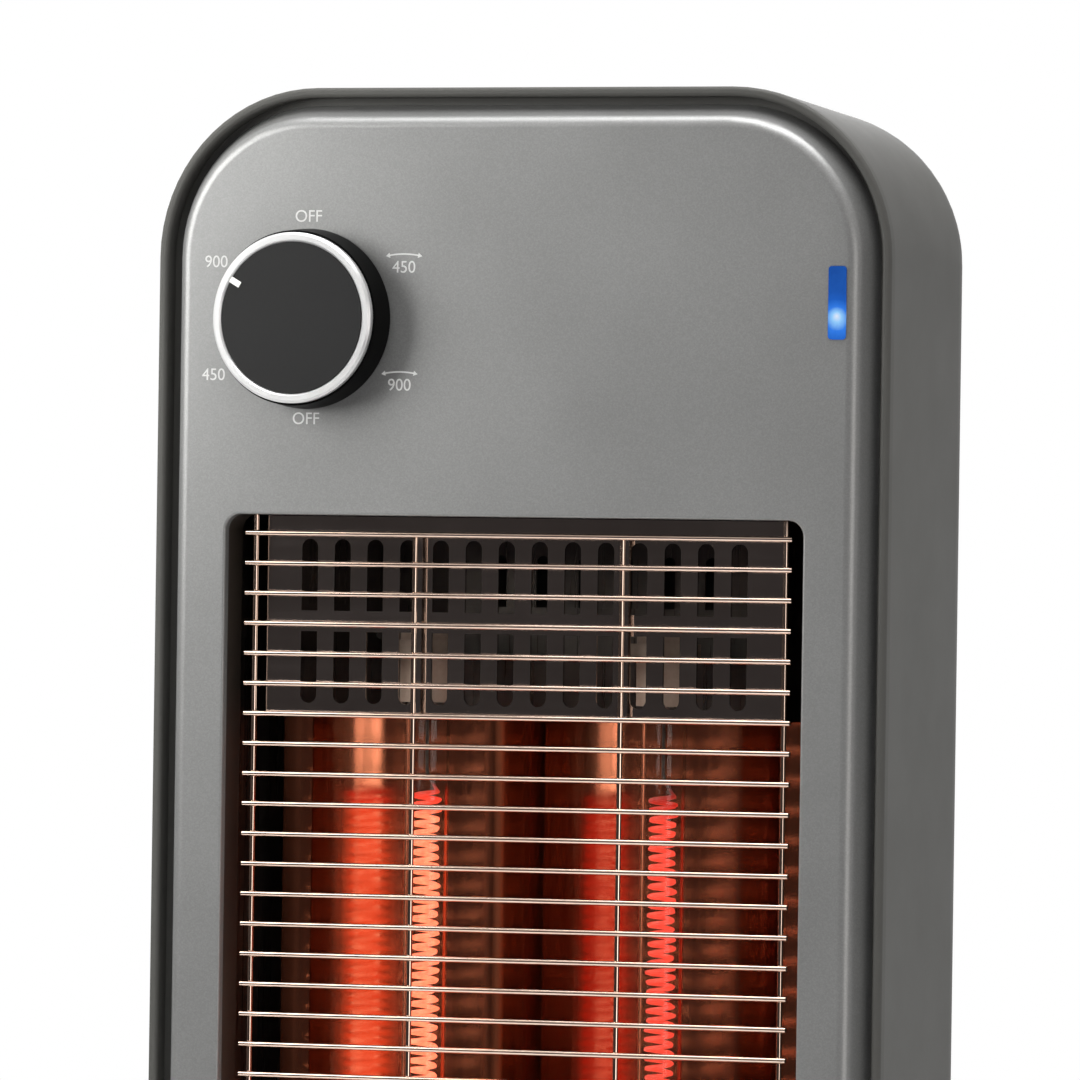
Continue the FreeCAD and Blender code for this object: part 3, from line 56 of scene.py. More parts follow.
# Places that follow from the frame
panel_low, panel_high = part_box("front_panel")
face_y = panel_low.y
head_middle = (panel_low + panel_high) / 2.0
knob_low, knob_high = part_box("knob_face")
knob_centre = (knob_low + knob_high) / 2.0
knob_radius = (knob_high.x - knob_low.x) / 2.0
lens_low, lens_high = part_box("indicator_lens")
left_low, left_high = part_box("filament_left")
right_low, right_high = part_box("filament_right")
tube_left = (left_low + left_high) / 2.0
tube_right = (right_low + right_high) / 2.0

# Light behind the lens
lens_spot_rise = 0.008
lens_spot_reach = 0.0075

# Carbon coils
coil_turns = 60
coil_steps = 18
coil_wire_sides = 8
coil_smooth_angle = 60.0
coil_radius = 0.0037
coil_wire = 0.00072
coil_lead = 0.0375
coil_sag = 0.0018
coil_sag_length = 0.004
coil_lead_wire = 0.00055
coil_lead_sides = 10
coil_lead_rise = 0.007
coil_lead_bends = (0.15, 0.45, 0.40)
coil_heat_inside = 0.008
coil_heat_outside = 0.003
coil_low = left_low.z + coil_lead
coil_high = left_high.z - coil_lead

# Printed legends round the knob
print_height = 0.0052
print_thickness = 0.00002
print_y = face_y - 2.0 * print_thickness
legend_places = {
    "legend_off_upper": ("OFF", -0.0002, 0.0313),
    "legend_off_lower": ("OFF", -0.0002, -0.0307),
    "legend_full": ("900", -0.0308, 0.0173),
    "legend_half": ("450", -0.0312, -0.0174),
    "legend_swing_half": ("450", 0.0316, 0.0158),
    "legend_swing_full": ("900", 0.0306, -0.0202),
}
swing_mark_places = {
    "swing_mark_half": (0.0316, 0.0197),
    "swing_mark_full": (0.0306, -0.0163),
}
swing_mark_radius = 0.0266
swing_mark_sides = 288
swing_mark_angle = 11.0
swing_mark_width = 0.00045
swing_head_size = 0.0009

# Pointer on the knob
pointer_angle = 150.0
pointer_length = 0.0036
pointer_width = 0.0019
pointer_thickness = 0.00025
pointer_seat = 0.45
pointer_edge = 0.6

# Studio
floor_radius = 0.85
floor_sides = 96
floor_drop = 0.0003
floor_fade = 0.40
even_light = 0.31
lamp_watts = 4.0
lamps = {
    "key_left": ((-0.42, -0.36, 0.62), 0.34, 0.34, 7.6, (1.0, 1.0, 0.985)),
    "side_right": ((1.76, -1.23, 0.42), 1.1, 1.0, 2.5, (1.0, 0.97, 0.94)),
    "side_back": ((1.9, 0.6, 0.8), 1.2, 1.2, 0.5, (1.0, 0.98, 0.95)),
    "back": ((-0.7, 1.8, 1.2), 1.2, 1.2, 1.8, (1.0, 1.0, 1.0)),
    "top": ((0.1, -0.25, 1.75), 1.3, 0.9, 7.0, (1.0, 1.0, 1.0)),
}

# Shading of the solids
crease_angle = 28.0
weld_distance = 0.000002
face_weight = 80


# Shader helpers

def effect_group(name, inputs, outputs):
    """Empty shader group with number sockets, and the object's own coordinates inside it."""
    group = bpy.data.node_groups.new(name, "ShaderNodeTree")
    for label, default in inputs.items():
        item = group.interface.new_socket(name=label, in_out="INPUT", socket_type="NodeSocketFloat")
        item.default_value = default
    for label in outputs:
        group.interface.new_socket(name=label, in_out="OUTPUT", socket_type="NodeSocketFloat")
    source = group.nodes.new("NodeGroupInput")
    result = group.nodes.new("NodeGroupOutput")
    place = group.nodes.new("ShaderNodeTexCoord").outputs["Object"]
    return group, source.outputs, result.inputs, place


def noise(tree, place, scale, detail=2.0, roughness=0.5):
    """Noise over a place, with the scale as a number or a socket."""
    node = tree.nodes.new("ShaderNodeTexNoise")
    node.inputs["Detail"].default_value = detail
    node.inputs["Roughness"].default_value = roughness
    tree.links.new(place, node.inputs["Vector"])
    if isinstance(scale, float):
        node.inputs["Scale"].default_value = scale
    else:
        tree.links.new(scale, node.inputs["Scale"])
    return node.outputs["Fac"]


def stretch(tree, place, x, y, z):
    """Place with each axis multiplied by a socket."""
    factors = tree.nodes.new("ShaderNodeCombineXYZ")
    for label, socket in zip("XYZ", (x, y, z)):
        tree.links.new(socket, factors.inputs[label])
    product = tree.nodes.new("ShaderNodeVectorMath")
    product.operation = "MULTIPLY"
    tree.links.new(place, product.inputs[0])
    tree.links.new(factors.outputs[0], product.inputs[1])
    return product.outputs[0]


def spread(tree, factor, low, high, start=0.25, end=0.75):
    """Number that runs from low to high while the factor runs from start to end."""
    node = tree.nodes.new("ShaderNodeMapRange")
    node.inputs["From Min"].default_value = start
    node.inputs["From Max"].default_value = end
    node.inputs["To Min"].default_value = low
    node.inputs["To Max"].default_value = high
    tree.links.new(factor, node.inputs["Value"])
    return node.outputs["Result"]


def ramp(tree, factor, stops):
    """Colour that follows a factor through stops of place and colour."""
    node = tree.nodes.new("ShaderNodeValToRGB")
    elements = node.color_ramp.elements
    while len(elements) < len(stops):
        elements.new(0.5)
    for element, (place, colour) in zip(elements, stops):
        element.position = place
        element.color = (*colour, 1.0)
    tree.links.new(factor, node.inputs["Fac"])
    return node.outputs["Color"]


def combine(tree, operation, first, second):
    """Result of a number operation on a socket and a socket or number."""
    node = tree.nodes.new("ShaderNodeMath")
    node.operation = operation
    tree.links.new(first, node.inputs[0])
    if isinstance(second, float):
        node.inputs[1].default_value = second
    else:
        tree.links.new(second, node.inputs[1])
    return node.outputs[0]


def relief(tree, height, strength, depth):
    """Normal from a height."""
    node = tree.nodes.new("ShaderNodeBump")
    node.inputs["Strength"].default_value = strength
    node.inputs["Distance"].default_value = depth
    tree.links.new(height, node.inputs["Height"])
    return node.outputs["Normal"]


def own_axis(tree, axis):
    """One of the object's own coordinates."""
    split = tree.nodes.new("ShaderNodeSeparateXYZ")
    tree.links.new(tree.nodes.new("ShaderNodeTexCoord").outputs["Object"], split.inputs[0])
    return split.outputs[axis]


# Effects shared by the finishes

def moulded_grain_effect():
    """Eroded grain of a moulded shell, with slow changes of tone and gloss."""
    group, source, result, place = effect_group(
        "moulded_grain", {"Grain Scale": 1500.0, "Tone Scale": 14.0}, ("Grain", "Tone", "Gloss"))
    grain = noise(group, place, source["Grain Scale"], 3.0, 0.6)
    tone = noise(group, place, source["Tone Scale"], 5.0, 0.55)
    gloss = noise(group, place, 46.0, 3.0, 0.6)
    group.links.new(grain, result["Grain"])
    group.links.new(combine(group, "ADD", combine(group, "MULTIPLY", tone, 0.6),
                            combine(group, "MULTIPLY", grain, 0.4)), result["Tone"])
    group.links.new(gloss, result["Gloss"])
    return group


def metal_flake_effect():
    """Flakes of a metallic paint."""
    group, source, result, place = effect_group(
        "metal_flake", {"Flake Scale": 2600.0}, ("Flake", "Tilt", "Cloud"))
    cells = group.nodes.new("ShaderNodeTexVoronoi")
    group.links.new(place, cells.inputs["Vector"])
    group.links.new(source["Flake Scale"], cells.inputs["Scale"])
    split = group.nodes.new("ShaderNodeSeparateColor")
    group.links.new(cells.outputs["Color"], split.inputs[0])
    group.links.new(split.outputs[0], result["Flake"])
    group.links.new(split.outputs[1], result["Tilt"])
    group.links.new(noise(group, place, 22.0, 4.0, 0.55), result["Cloud"])
    return group


def drawn_metal_effect():
    """Fine lines of drawn or rolled metal, and the soft clouds of handled metal."""
    group, source, result, place = effect_group(
        "drawn_metal", {"Lines X": 900.0, "Lines Y": 900.0, "Lines Z": 12.0}, ("Line", "Cloud"))
    lines = stretch(group, place, source["Lines X"], source["Lines Y"], source["Lines Z"])
    group.links.new(noise(group, lines, 1.0, 3.0, 0.6), result["Line"])
    group.links.new(noise(group, place, 34.0, 4.0, 0.6), result["Cloud"])
    return group


effects = {
    "moulded_grain": moulded_grain_effect(),
    "metal_flake": metal_flake_effect(),
    "drawn_metal": drawn_metal_effect(),
}


def new_finish(name):
    """Material with one shader, and its node tree."""
    material = bpy.data.materials.new(name)
    material.use_nodes = True
    tree = material.node_tree
    return material, tree, tree.nodes["Principled BSDF"].inputs


def use_effect(tree, name, values):
    """Places a shared effect in a material with its own values."""
    node = tree.nodes.new("ShaderNodeGroup")
    node.node_tree = effects[name]
    for label, value in values.items():
        node.inputs[label].default_value = value
    return node.outputs


# Finishes

def plastic_finish(name, dark, light, roughness, grain_scale=1500.0, grain_depth=0.00005, gloss=0.5):
    """Moulded plastic or rubber with a fine grain."""
    material, tree, shader = new_finish(name)
    grain = use_effect(tree, "moulded_grain", {"Grain Scale": grain_scale})
    tree.links.new(ramp(tree, grain["Tone"], ((0.32, dark), (0.68, light))), shader["Base Color"])
    tree.links.new(spread(tree, grain["Gloss"], roughness - 0.03, roughness + 0.03), shader["Roughness"])
    tree.links.new(relief(tree, grain["Grain"], 0.4, grain_depth), shader["Normal"])
    shader["Specular IOR Level"].default_value = gloss
    return material


def metal_finish(name, dark, light, roughness, lines=(900.0, 900.0, 12.0), depth=0.000004):
    """Bare or plated metal with drawn lines."""
    material, tree, shader = new_finish(name)
    drawn = use_effect(tree, "drawn_metal", {"Lines X": lines[0], "Lines Y": lines[1], "Lines Z": lines[2]})
    tree.links.new(ramp(tree, drawn["Cloud"], ((0.3, dark), (0.7, light))), shader["Base Color"])
    tree.links.new(spread(tree, drawn["Line"], roughness * 0.7, roughness * 1.3), shader["Roughness"])
    tree.links.new(relief(tree, drawn["Line"], 0.3, depth), shader["Normal"])
    shader["Metallic"].default_value = 1.0
    return material


def panel_paint():
    """Satin metallic paint of the raised front."""
    material, tree, shader = new_finish("panel_paint")
    paint = use_effect(tree, "metal_flake", {"Flake Scale": 2600.0})
    tone = combine(tree, "ADD", combine(tree, "MULTIPLY", paint["Flake"], 0.75),
                   combine(tree, "MULTIPLY", paint["Cloud"], 0.25))
    colours = ((0.0, (0.174, 0.175, 0.172)), (0.5, (0.192, 0.193, 0.190)), (1.0, (0.218, 0.219, 0.215)))
    tree.links.new(ramp(tree, tone, colours), shader["Base Color"])
    tree.links.new(spread(tree, paint["Cloud"], 0.36, 0.44), shader["Roughness"])
    tree.links.new(relief(tree, paint["Tilt"], 0.12, 0.00003), shader["Normal"])
    shader["Metallic"].default_value = 0.40
    shader["Coat Weight"].default_value = 0.3
    shader["Coat Roughness"].default_value = 0.3
    return material


def reflector_metal():
    """Polished reflector with a light warm tint of its own, deepened to copper red as a painted reflection
    of the glowing coils.
    """
    material, tree, shader = new_finish("reflector_metal")
    drawn = use_effect(tree, "drawn_metal", {"Lines X": 700.0, "Lines Y": 700.0, "Lines Z": 6.0})
    # Copper red base: partly the reflector's own warm tint, partly a painted reflection of the glowing
    # coils' light
    colours = ((0.3, (0.41, 0.135, 0.070)), (0.7, (0.50, 0.168, 0.089)))
    tree.links.new(ramp(tree, drawn["Cloud"], colours), shader["Base Color"])
    tree.links.new(spread(tree, drawn["Line"], 0.10, 0.18), shader["Roughness"])
    tree.links.new(relief(tree, drawn["Line"], 0.15, 0.000006), shader["Normal"])
    shader["Metallic"].default_value = 1.0
    return material


def satin_ring():
    """Bright satin ring of the knob."""
    material, tree, shader = new_finish("knob_chrome")
    drawn = use_effect(tree, "drawn_metal", {"Lines X": 500.0, "Lines Y": 40.0, "Lines Z": 500.0})
    tree.links.new(ramp(tree, drawn["Cloud"], ((0.3, (0.52, 0.52, 0.52)), (0.7, (0.60, 0.60, 0.60)))),
                   shader["Base Color"])
    tree.links.new(spread(tree, drawn["Line"], 0.28, 0.33), shader["Roughness"])
    shader["Metallic"].default_value = 0.45
    return material


def quartz():
    """Clear drawn quartz."""
    material, tree, shader = new_finish("quartz")
    drawn = use_effect(tree, "drawn_metal", {"Lines X": 300.0, "Lines Y": 300.0, "Lines Z": 10.0})
    colours = ((0.3, (0.95, 0.94, 0.92)), (0.7, (0.99, 0.98, 0.97)))
    tree.links.new(ramp(tree, drawn["Cloud"], colours), shader["Base Color"])
    tree.links.new(spread(tree, drawn["Line"], 0.01, 0.05), shader["Roughness"])
    shader["IOR"].default_value = 1.2
    shader["Transmission Weight"].default_value = 1.0
    return material


def glowing_carbon(name, deep, hot, strength):
    """Carbon that glows along the coil and stays dark at its leads."""
    material, tree, shader = new_finish(name)
    middle = (coil_low + coil_high) / 2.0
    half = (coil_high - coil_low) / 2.0
    away = combine(tree, "ABSOLUTE", combine(tree, "SUBTRACT", own_axis(tree, "Z"), middle), 0.0)
    heat = spread(tree, away, 1.0, 0.0, half - coil_heat_inside, half + coil_heat_outside)
    drawn = use_effect(tree, "drawn_metal", {"Lines X": 500.0, "Lines Y": 500.0, "Lines Z": 260.0})
    heat = combine(tree, "MULTIPLY", heat, spread(tree, drawn["Line"], 0.72, 1.0))
    stops = ((0.0, (0.0, 0.0, 0.0)), (0.55, deep), (1.0, hot))
    tree.links.new(ramp(tree, heat, stops), shader["Emission Color"])
    tree.links.new(ramp(tree, drawn["Cloud"], ((0.3, (0.03, 0.025, 0.02)), (0.7, (0.07, 0.05, 0.04)))),
                   shader["Base Color"])
    shader["Roughness"].default_value = 0.6
    shader["Emission Strength"].default_value = strength
    return material


def lens_blue():
    """Clear blue bar, lit from behind near its lower end."""
    material, tree, shader = new_finish("lens_blue")
    height = spread(tree, own_axis(tree, "Z"), 0.0, 0.45, lens_high.z, lens_low.z)
    cloud = use_effect(tree, "moulded_grain", {"Grain Scale": 800.0, "Tone Scale": 220.0})
    distance = tree.nodes.new("ShaderNodeVectorMath")
    distance.operation = "DISTANCE"
    distance.inputs[1].default_value = (
        (lens_low.x + lens_high.x) / 2.0, lens_low.y, lens_low.z + lens_spot_rise)
    tree.links.new(tree.nodes.new("ShaderNodeTexCoord").outputs["Object"], distance.inputs[0])
    near = spread(tree, distance.outputs["Value"], 0.6, 0.0, 0.0, lens_spot_reach)
    lit = combine(tree, "ADD", height, near)
    place = combine(tree, "ADD", lit, spread(tree, cloud["Tone"], -0.02, 0.02))
    stops = (
        (0.05, (0.004, 0.050, 0.24)), (0.40, (0.006, 0.085, 0.42)), (0.62, (0.03, 0.20, 0.75)),
        (0.78, (0.35, 0.70, 1.0)), (0.90, (0.95, 0.98, 1.0)),
    )
    tree.links.new(ramp(tree, place, stops), shader["Emission Color"])
    tree.links.new(ramp(tree, cloud["Tone"], ((0.3, (0.004, 0.02, 0.10)), (0.7, (0.008, 0.04, 0.16)))),
                   shader["Base Color"])
    shader["Roughness"].default_value = 0.12
    shader["Emission Strength"].default_value = 0.8
    return material


# Moulded, painted and cast finishes: dark and light tone, roughness, and what differs from the usual grain
plastics = {
    "housing_plastic": ((0.057, 0.056, 0.052), (0.064, 0.063, 0.058), 0.55, {"gloss": 0.22}),
    "base_plastic": ((0.055, 0.054, 0.050), (0.062, 0.061, 0.056), 0.55, {"gloss": 0.22}),
    "black_sheet": (
        (0.016, 0.012, 0.010), (0.034, 0.026, 0.020), 0.42, {"grain_scale": 900.0, "grain_depth": 0.00002}),
    # cap_ceramic: cream ceramic darkened and tinted brown, a painted shade with painted orange light from
    # the coils
    "cap_ceramic": ((0.32, 0.23, 0.175), (0.42, 0.31, 0.24), 0.62, {"grain_scale": 700.0}),
    "black_plastic": ((0.018, 0.018, 0.018), (0.036, 0.036, 0.035), 0.46, {}),
    "white_plastic": ((0.70, 0.70, 0.67), (0.82, 0.82, 0.79), 0.42, {}),
    "gear_plastic": ((0.66, 0.65, 0.58), (0.78, 0.77, 0.71), 0.38, {}),
    "knob_black": ((0.0015, 0.0015, 0.0015), (0.0025, 0.0025, 0.0025), 0.40, {"gloss": 0.04}),
    "knob_charcoal": (
        (0.010, 0.010, 0.010), (0.014, 0.014, 0.014), 0.48, {"grain_scale": 2200.0, "gloss": 0.14}),
    "board_green": ((0.03, 0.16, 0.07), (0.06, 0.25, 0.12), 0.36, {}),
    "ballast_iron": (
        (0.08, 0.08, 0.08), (0.15, 0.15, 0.14), 0.66, {"grain_scale": 500.0, "grain_depth": 0.0002}),
    "foot_rubber": ((0.014, 0.014, 0.014), (0.030, 0.030, 0.029), 0.72, {"grain_scale": 900.0}),
    "legend_print": ((0.50, 0.50, 0.49), (0.60, 0.60, 0.59), 0.55, {"gloss": 0.25}),
}

# Bare and plated metals: dark and light tone, roughness, and lines that differ from upright ones
metals = {
    # guard_chrome: plated steel wires, their salmon tint a painted warm reflection of the glowing coils
    "guard_chrome": ((0.58, 0.43, 0.345), (0.67, 0.52, 0.43), 0.09, {"lines": (12.0, 900.0, 900.0)}),
    "plated_sheet": ((0.12, 0.105, 0.095), (0.20, 0.18, 0.16), 0.32, {}),
    "mirror_sheet": ((0.40, 0.355, 0.33), (0.50, 0.45, 0.42), 0.10, {"lines": (14.0, 500.0, 500.0)}),
    "screw_steel": ((0.50, 0.50, 0.49), (0.64, 0.64, 0.63), 0.28, {}),
    "motor_steel": ((0.46, 0.46, 0.47), (0.60, 0.60, 0.61), 0.34, {}),
}

finishes = {
    "panel_paint": panel_paint(),
    "reflector_metal": reflector_metal(),
    "quartz": quartz(),
    "knob_chrome": satin_ring(),
    "lens_blue": lens_blue(),
    "carbon_glow": glowing_carbon("carbon_glow", (0.85, 0.045, 0.022), (1.0, 0.25, 0.12), 1.8),
}
for name, (dark, light, roughness, others) in plastics.items():
    finishes[name] = plastic_finish(name, dark, light, roughness, **others)
for name, (dark, light, roughness, others) in metals.items():
    finishes[name] = metal_finish(name, dark, light, roughness, **others)
dim_carbon = glowing_carbon("carbon_dim", (0.62, 0.022, 0.012), (0.95, 0.075, 0.042), 1.15)


# Dressing of the solids

def soft_shading_group():
    """Joins the loose triangles of a solid and keeps only its real edges sharp."""
    group = bpy.data.node_groups.new("soft_shading", "GeometryNodeTree")
    group.is_modifier = True
    group.interface.new_socket(name="Geometry", in_out="INPUT", socket_type="NodeSocketGeometry")
    group.interface.new_socket(name="Geometry", in_out="OUTPUT", socket_type="NodeSocketGeometry")
    source = group.nodes.new("NodeGroupInput")
    result = group.nodes.new("NodeGroupOutput")
    weld = group.nodes.new("GeometryNodeMergeByDistance")
    weld.inputs["Distance"].default_value = weld_distance
    smooth = group.nodes.new("GeometryNodeSetShadeSmooth")
    angle = group.nodes.new("GeometryNodeInputMeshEdgeAngle")
    sharp = group.nodes.new("FunctionNodeCompare")
    sharp.data_type = "FLOAT"
    sharp.operation = "GREATER_THAN"
    sharp.inputs[1].default_value = math.radians(crease_angle)
    crease = group.nodes.new("GeometryNodeSetShadeSmooth")
    crease.domain = "EDGE"
    crease.inputs["Shade Smooth"].default_value = False
    group.links.new(source.outputs[0], weld.inputs["Geometry"])
    group.links.new(weld.outputs[0], smooth.inputs["Geometry"])
    group.links.new(smooth.outputs[0], crease.inputs["Geometry"])
    group.links.new(angle.outputs["Unsigned Angle"], sharp.inputs[0])
    group.links.new(sharp.outputs[0], crease.inputs["Selection"])
    group.links.new(crease.outputs[0], result.inputs[0])
    return group


def dress_solids():
    """Gives each solid its finish and soft shading."""
    shading = soft_shading_group()
    for part in frame["record"]["subparts"]:
        solid = frame["nodes"][part["node"]]
        solid.data.materials.clear()
        solid.data.materials.append(finishes[part["material_slot"]])
        solid.modifiers.new("soft_shading", "NODES").node_group = shading
        weights = solid.modifiers.new("face_weights", "WEIGHTED_NORMAL")
        weights.mode = "FACE_AREA"
        weights.weight = face_weight
        weights.keep_sharp = True


# Modelling helpers

def start():
    """Nothing selected, in object mode."""
    if bpy.context.object and bpy.context.object.mode != "OBJECT":
        bpy.ops.object.mode_set(mode="OBJECT")
    bpy.ops.object.select_all(action="DESELECT")


def select_faces(piece, wanted):
    """Leaves the piece in edit mode with the wanted faces selected."""
    bpy.ops.object.mode_set(mode="EDIT")
    bpy.ops.mesh.select_mode(type="FACE")
    bpy.ops.mesh.select_all(action="DESELECT")
    bpy.ops.object.mode_set(mode="OBJECT")
    for face in piece.data.polygons:
        face.select = wanted(face.center, face.normal)
    bpy.ops.object.mode_set(mode="EDIT")


def settle(piece, name, body, finish):
    """Puts the piece's place into its mesh, and lets it ride on a body with a finish."""
    start()
    piece.select_set(True)
    bpy.context.view_layer.objects.active = piece
    bpy.ops.object.transform_apply(location=True, rotation=True, scale=True)
    piece.name = name
    piece.data.materials.clear()
    piece.data.materials.append(finish)
    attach(piece, body)
    return piece


# Carbon coils

def coil_lead_piece(end_z, up):
    """Straight lead on the tube's axis that bends out to the end of the coil."""
    join_z = end_z + up * coil_lead_rise
    outer_z = tube_left.z + up * (left_high.z - left_low.z) / 2.0
    start()
    bpy.ops.mesh.primitive_cylinder_add(
        vertices=coil_lead_sides, radius=coil_lead_wire, depth=abs(outer_z - join_z),
        location=(tube_left.x, tube_left.y, (outer_z + join_z) / 2.0))
    lead = bpy.context.object
    select_faces(lead, lambda centre, normal: normal.z * up < -0.5)
    for share in coil_lead_bends:
        bpy.ops.mesh.extrude_region_move(TRANSFORM_OT_translate={
            "value": (share * coil_radius, 0.0, -up * coil_lead_rise / len(coil_lead_bends))})
    bpy.ops.object.mode_set(mode="OBJECT")
    return lead


def carbon_coil():
    """Fine spiral of carbon with its two leads."""
    leads = [coil_lead_piece(coil_low, -1), coil_lead_piece(coil_high, 1)]
    start()
    bpy.ops.mesh.primitive_circle_add(
        vertices=coil_wire_sides, radius=coil_wire, location=(tube_left.x, tube_left.y, coil_low),
        rotation=(math.pi / 2.0, 0.0, 0.0))
    coil = bpy.context.object
    bpy.ops.object.transform_apply(location=False, rotation=True, scale=False)
    bpy.ops.object.mode_set(mode="EDIT")
    bpy.ops.mesh.select_all(action="SELECT")
    bpy.ops.transform.translate(value=(coil_radius, 0.0, 0.0))
    bpy.ops.object.mode_set(mode="OBJECT")
    screw = coil.modifiers.new("winding", "SCREW")
    screw.axis = "Z"
    screw.angle = 2.0 * math.pi
    screw.iterations = coil_turns
    screw.screw_offset = (coil_high - coil_low) / coil_turns
    screw.steps = coil_steps
    screw.render_steps = coil_steps
    bpy.ops.object.modifier_apply(modifier="winding")
    bpy.ops.object.mode_set(mode="EDIT")
    bpy.ops.mesh.select_all(action="SELECT")
    bpy.ops.mesh.fill_holes(sides=12)
    bpy.ops.mesh.select_all(action="SELECT")
    bpy.ops.mesh.normals_make_consistent(inside=False)
    bpy.ops.object.mode_set(mode="OBJECT")
    sag = bpy.data.textures.new("coil_sag", "CLOUDS")
    sag.noise_scale = coil_sag_length
    for axis in "XY":
        bend = coil.modifiers.new("sag", "DISPLACE")
        bend.texture = sag
        bend.direction = axis
        bend.strength = coil_sag
        bpy.ops.object.modifier_apply(modifier="sag")
    for lead in leads:
        lead.select_set(True)
    coil.select_set(True)
    bpy.context.view_layer.objects.active = coil
    bpy.ops.object.join()
    bpy.ops.object.shade_smooth_by_angle(angle=math.radians(coil_smooth_angle))
    return coil


def carbon_coils():
    """Both coils, the left one hotter."""
    left = carbon_coil()
    right = left.copy()
    right.data = left.data.copy()
    right.location += tube_right - tube_left
    bpy.context.scene.collection.objects.link(right)
    settle(left, "carbon_coil_left", "head", finishes["carbon_glow"])
    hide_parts("filament_left")
    settle(right, "carbon_coil_right", "head", dim_carbon)
    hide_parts("filament_right")


# Legends and pointer

def printed_words(name, words, across, up):
    """Printed word on the panel, placed from the knob's axis."""
    start()
    bpy.ops.object.text_add(rotation=(math.pi / 2.0, 0.0, 0.0))
    text = bpy.context.object
    text.data.body = words
    text.data.size = print_height
    text.data.align_x = "CENTER"
    text.data.align_y = "CENTER"
    text.data.extrude = print_thickness
    text.location = (knob_centre.x + across, print_y, knob_centre.z + up)
    bpy.ops.object.convert(target="MESH")
    settle(bpy.context.object, name, "head", finishes["legend_print"])


def swing_mark(name, across, up):
    """Printed arc with an arrowhead at each end."""
    start()
    bpy.ops.mesh.primitive_circle_add(
        vertices=swing_mark_sides, radius=swing_mark_radius, fill_type="NOTHING",
        rotation=(math.pi / 2.0, 0.0, 0.0),
        location=(knob_centre.x + across, print_y, knob_centre.z + up - swing_mark_radius))
    mark = bpy.context.object
    centre = mark.location.copy()
    bpy.ops.object.mode_set(mode="EDIT")
    bpy.ops.mesh.select_mode(type="VERT")
    bpy.ops.mesh.select_all(action="DESELECT")
    bpy.ops.object.mode_set(mode="OBJECT")
    for corner in mark.data.vertices:
        corner.select = corner.co.y < swing_mark_radius * math.cos(math.radians(swing_mark_angle))
    bpy.ops.object.mode_set(mode="EDIT")
    bpy.ops.mesh.delete(type="VERT")
    bpy.ops.mesh.select_all(action="SELECT")
    bpy.ops.mesh.extrude_region_move(TRANSFORM_OT_translate={"value": (0.0, 0.0, 0.0)})
    grow = 1.0 + swing_mark_width / swing_mark_radius
    bpy.ops.transform.resize(value=(grow, grow, grow), center_override=centre)
    for side in (-1, 1):
        lean = math.radians(side * swing_mark_angle)
        reach = swing_mark_radius + swing_mark_width / 2.0
        tip = centre + Vector((reach * math.sin(lean), 0.0, reach * math.cos(lean)))
        bpy.ops.mesh.primitive_circle_add(
            vertices=3, radius=swing_head_size, fill_type="NGON", location=tip,
            rotation=(math.pi / 2.0, lean + side * math.pi / 2.0, 0.0))
    bpy.ops.object.mode_set(mode="OBJECT")
    skin = mark.modifiers.new("ink", "SOLIDIFY")
    skin.thickness = 2.0 * print_thickness
    skin.offset = 0.0
    bpy.ops.object.modifier_apply(modifier="ink")
    settle(mark, name, "head", finishes["legend_print"])


def legends():
    """Words and marks round the knob."""
    for name, (words, across, up) in legend_places.items():
        printed_words(name, words, across, up)
    for name, (across, up) in swing_mark_places.items():
        swing_mark(name, across, up)


def knob_pointer():
    """Pale inlay on the knob that points at a legend."""
    turn = math.radians(pointer_angle)
    reach = knob_radius - pointer_length * pointer_seat
    across, up = reach * math.cos(turn), reach * math.sin(turn)
    start()
    bpy.ops.mesh.primitive_cube_add(
        size=1.0, location=(knob_centre.x + across, knob_low.y, knob_centre.z + up),
        rotation=(0.0, -turn, 0.0), scale=(pointer_length, 2.0 * pointer_thickness, pointer_width))
    pointer = bpy.context.object
    bpy.ops.object.transform_apply(location=False, rotation=False, scale=True)
    edge = pointer.modifiers.new("edge", "BEVEL")
    edge.width = pointer_thickness * pointer_edge
    edge.segments = 2
    bpy.ops.object.modifier_apply(modifier="edge")
    settle(pointer, "knob_pointer", "knob", finishes["white_plastic"])


# Studio

def photo_camera():
    """Camera at the place from which the heater was photographed."""
    yaw, tilt, roll = (math.radians(angle) for angle in (camera_yaw, camera_tilt, camera_roll))
    ahead = Vector((-math.sin(yaw) * math.cos(tilt), math.cos(yaw) * math.cos(tilt), -math.sin(tilt)))
    level = Vector((math.cos(yaw), math.sin(yaw), 0.0))
    above = level.cross(ahead)
    right = level * math.cos(roll) - above * math.sin(roll)
    up = level * math.sin(roll) + above * math.cos(roll)
    start()
    bpy.ops.object.camera_add(location=camera_place)
    camera = bpy.context.object
    camera.rotation_euler = Matrix((right, up, -ahead)).transposed().to_euler()
    camera.data.lens = camera_lens
    camera.data.sensor_width = camera_sensor
    bpy.context.scene.camera = camera


def soft_box(name, place, width, height, radiance, colour):
    """Flat lamp aimed at the head, with its strength as the brightness of its face."""
    start()
    bpy.ops.object.light_add(type="AREA", location=place)
    lamp = bpy.context.object
    lamp.name = name
    lamp.data.shape = "RECTANGLE"
    lamp.data.size = width
    lamp.data.size_y = height
    lamp.data.color = colour
    lamp.data.energy = lamp_watts * radiance * width * height
    lamp.rotation_euler = (head_middle - Vector(place)).to_track_quat("-Z", "Y").to_euler()


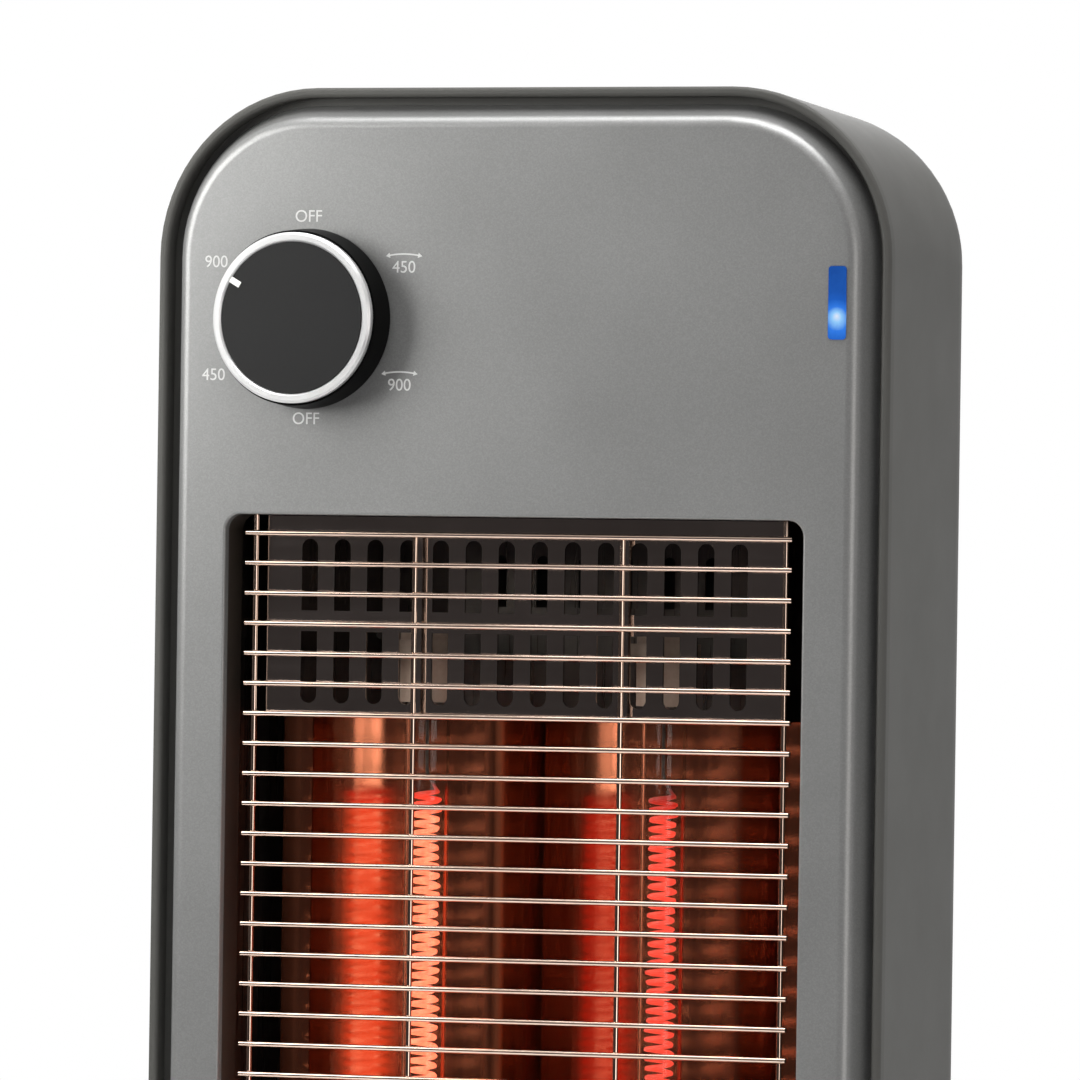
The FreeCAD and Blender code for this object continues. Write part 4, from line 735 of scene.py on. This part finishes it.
def studio_floor():
    """Round pale floor that fades into the white ground."""
    start()
    bpy.ops.mesh.primitive_circle_add(
        vertices=floor_sides, radius=floor_radius, fill_type="NGON", location=(0.0, 0.0, -floor_drop))
    floor = bpy.context.object
    floor.name = "studio_floor"
    material, tree, shader = new_finish("studio_floor")
    shader["Base Color"].default_value = (0.86, 0.86, 0.86, 1.0)
    shader["Roughness"].default_value = 0.8
    distance = tree.nodes.new("ShaderNodeVectorMath")
    distance.operation = "LENGTH"
    tree.links.new(tree.nodes.new("ShaderNodeTexCoord").outputs["Object"], distance.inputs[0])
    fade = spread(tree, distance.outputs["Value"], 0.0, 1.0, floor_fade, floor_radius * 0.95)
    seen = tree.nodes.new("ShaderNodeLightPath").outputs["Is Camera Ray"]
    white = tree.nodes.new("ShaderNodeEmission")
    mix = tree.nodes.new("ShaderNodeMixShader")
    tree.links.new(combine(tree, "MULTIPLY", fade, seen), mix.inputs[0])
    tree.links.new(tree.nodes["Principled BSDF"].outputs[0], mix.inputs[1])
    tree.links.new(white.outputs[0], mix.inputs[2])
    tree.links.new(mix.outputs[0], tree.nodes["Material Output"].inputs[0])
    floor.data.materials.append(material)


def studio_world():
    """White ground for the camera, even light for the object, and a dim front for what mirrors it."""
    world = bpy.data.worlds.new("studio")
    bpy.context.scene.world = world
    world.use_nodes = True
    tree = world.node_tree
    tree.nodes.clear()
    split = tree.nodes.new("ShaderNodeSeparateXYZ")
    tree.links.new(tree.nodes.new("ShaderNodeTexCoord").outputs["Generated"], split.inputs[0])
    height = spread(tree, split.outputs["Z"], 0.0, 1.0, -1.0, 1.0)
    stops = (
        (0.0, (0.30, 0.28, 0.38)), (0.36, (0.10, 0.09, 0.13)), (0.47, (0.060, 0.053, 0.052)),
        (0.56, (0.060, 0.053, 0.052)), (0.70, (0.45, 0.43, 0.42)), (0.85, (0.95, 0.95, 0.95)),
    )
    mix = tree.nodes.new("ShaderNodeMix")
    mix.data_type = "RGBA"
    mix.inputs[7].default_value = (1.0, 1.0, 1.0, 1.0)
    tree.links.new(spread(tree, split.outputs["Y"], 0.0, 1.0, 0.05, 0.35), mix.inputs[0])
    tree.links.new(ramp(tree, height, stops), mix.inputs[6])
    mirrored = tree.nodes.new("ShaderNodeBackground")
    tree.links.new(mix.outputs[2], mirrored.inputs["Color"])
    even = tree.nodes.new("ShaderNodeBackground")
    even.inputs["Color"].default_value = (1.0, 1.0, 1.0, 1.0)
    even.inputs["Strength"].default_value = even_light
    ground = tree.nodes.new("ShaderNodeBackground")
    ground.inputs["Color"].default_value = (1.0, 1.0, 1.0, 1.0)
    path = tree.nodes.new("ShaderNodeLightPath").outputs
    object_light = tree.nodes.new("ShaderNodeMixShader")
    bent = combine(tree, "MAXIMUM", path["Is Glossy Ray"], path["Is Transmission Ray"])
    tree.links.new(bent, object_light.inputs[0])
    tree.links.new(even.outputs[0], object_light.inputs[1])
    tree.links.new(mirrored.outputs[0], object_light.inputs[2])
    seen = tree.nodes.new("ShaderNodeMixShader")
    tree.links.new(path["Is Camera Ray"], seen.inputs[0])
    tree.links.new(object_light.outputs[0], seen.inputs[1])
    tree.links.new(ground.outputs[0], seen.inputs[2])
    output = tree.nodes.new("ShaderNodeOutputWorld")
    tree.links.new(seen.outputs[0], output.inputs["Surface"])


def studio():
    """Floor, ground, lamps and camera."""
    studio_floor()
    studio_world()
    for name, (place, width, height, radiance, colour) in lamps.items():
        soft_box(name, place, width, height, radiance, colour)
    photo_camera()
    bpy.context.scene.view_settings.view_transform = "Standard"


dress_solids()
carbon_coils()
legends()
knob_pointer()
studio()
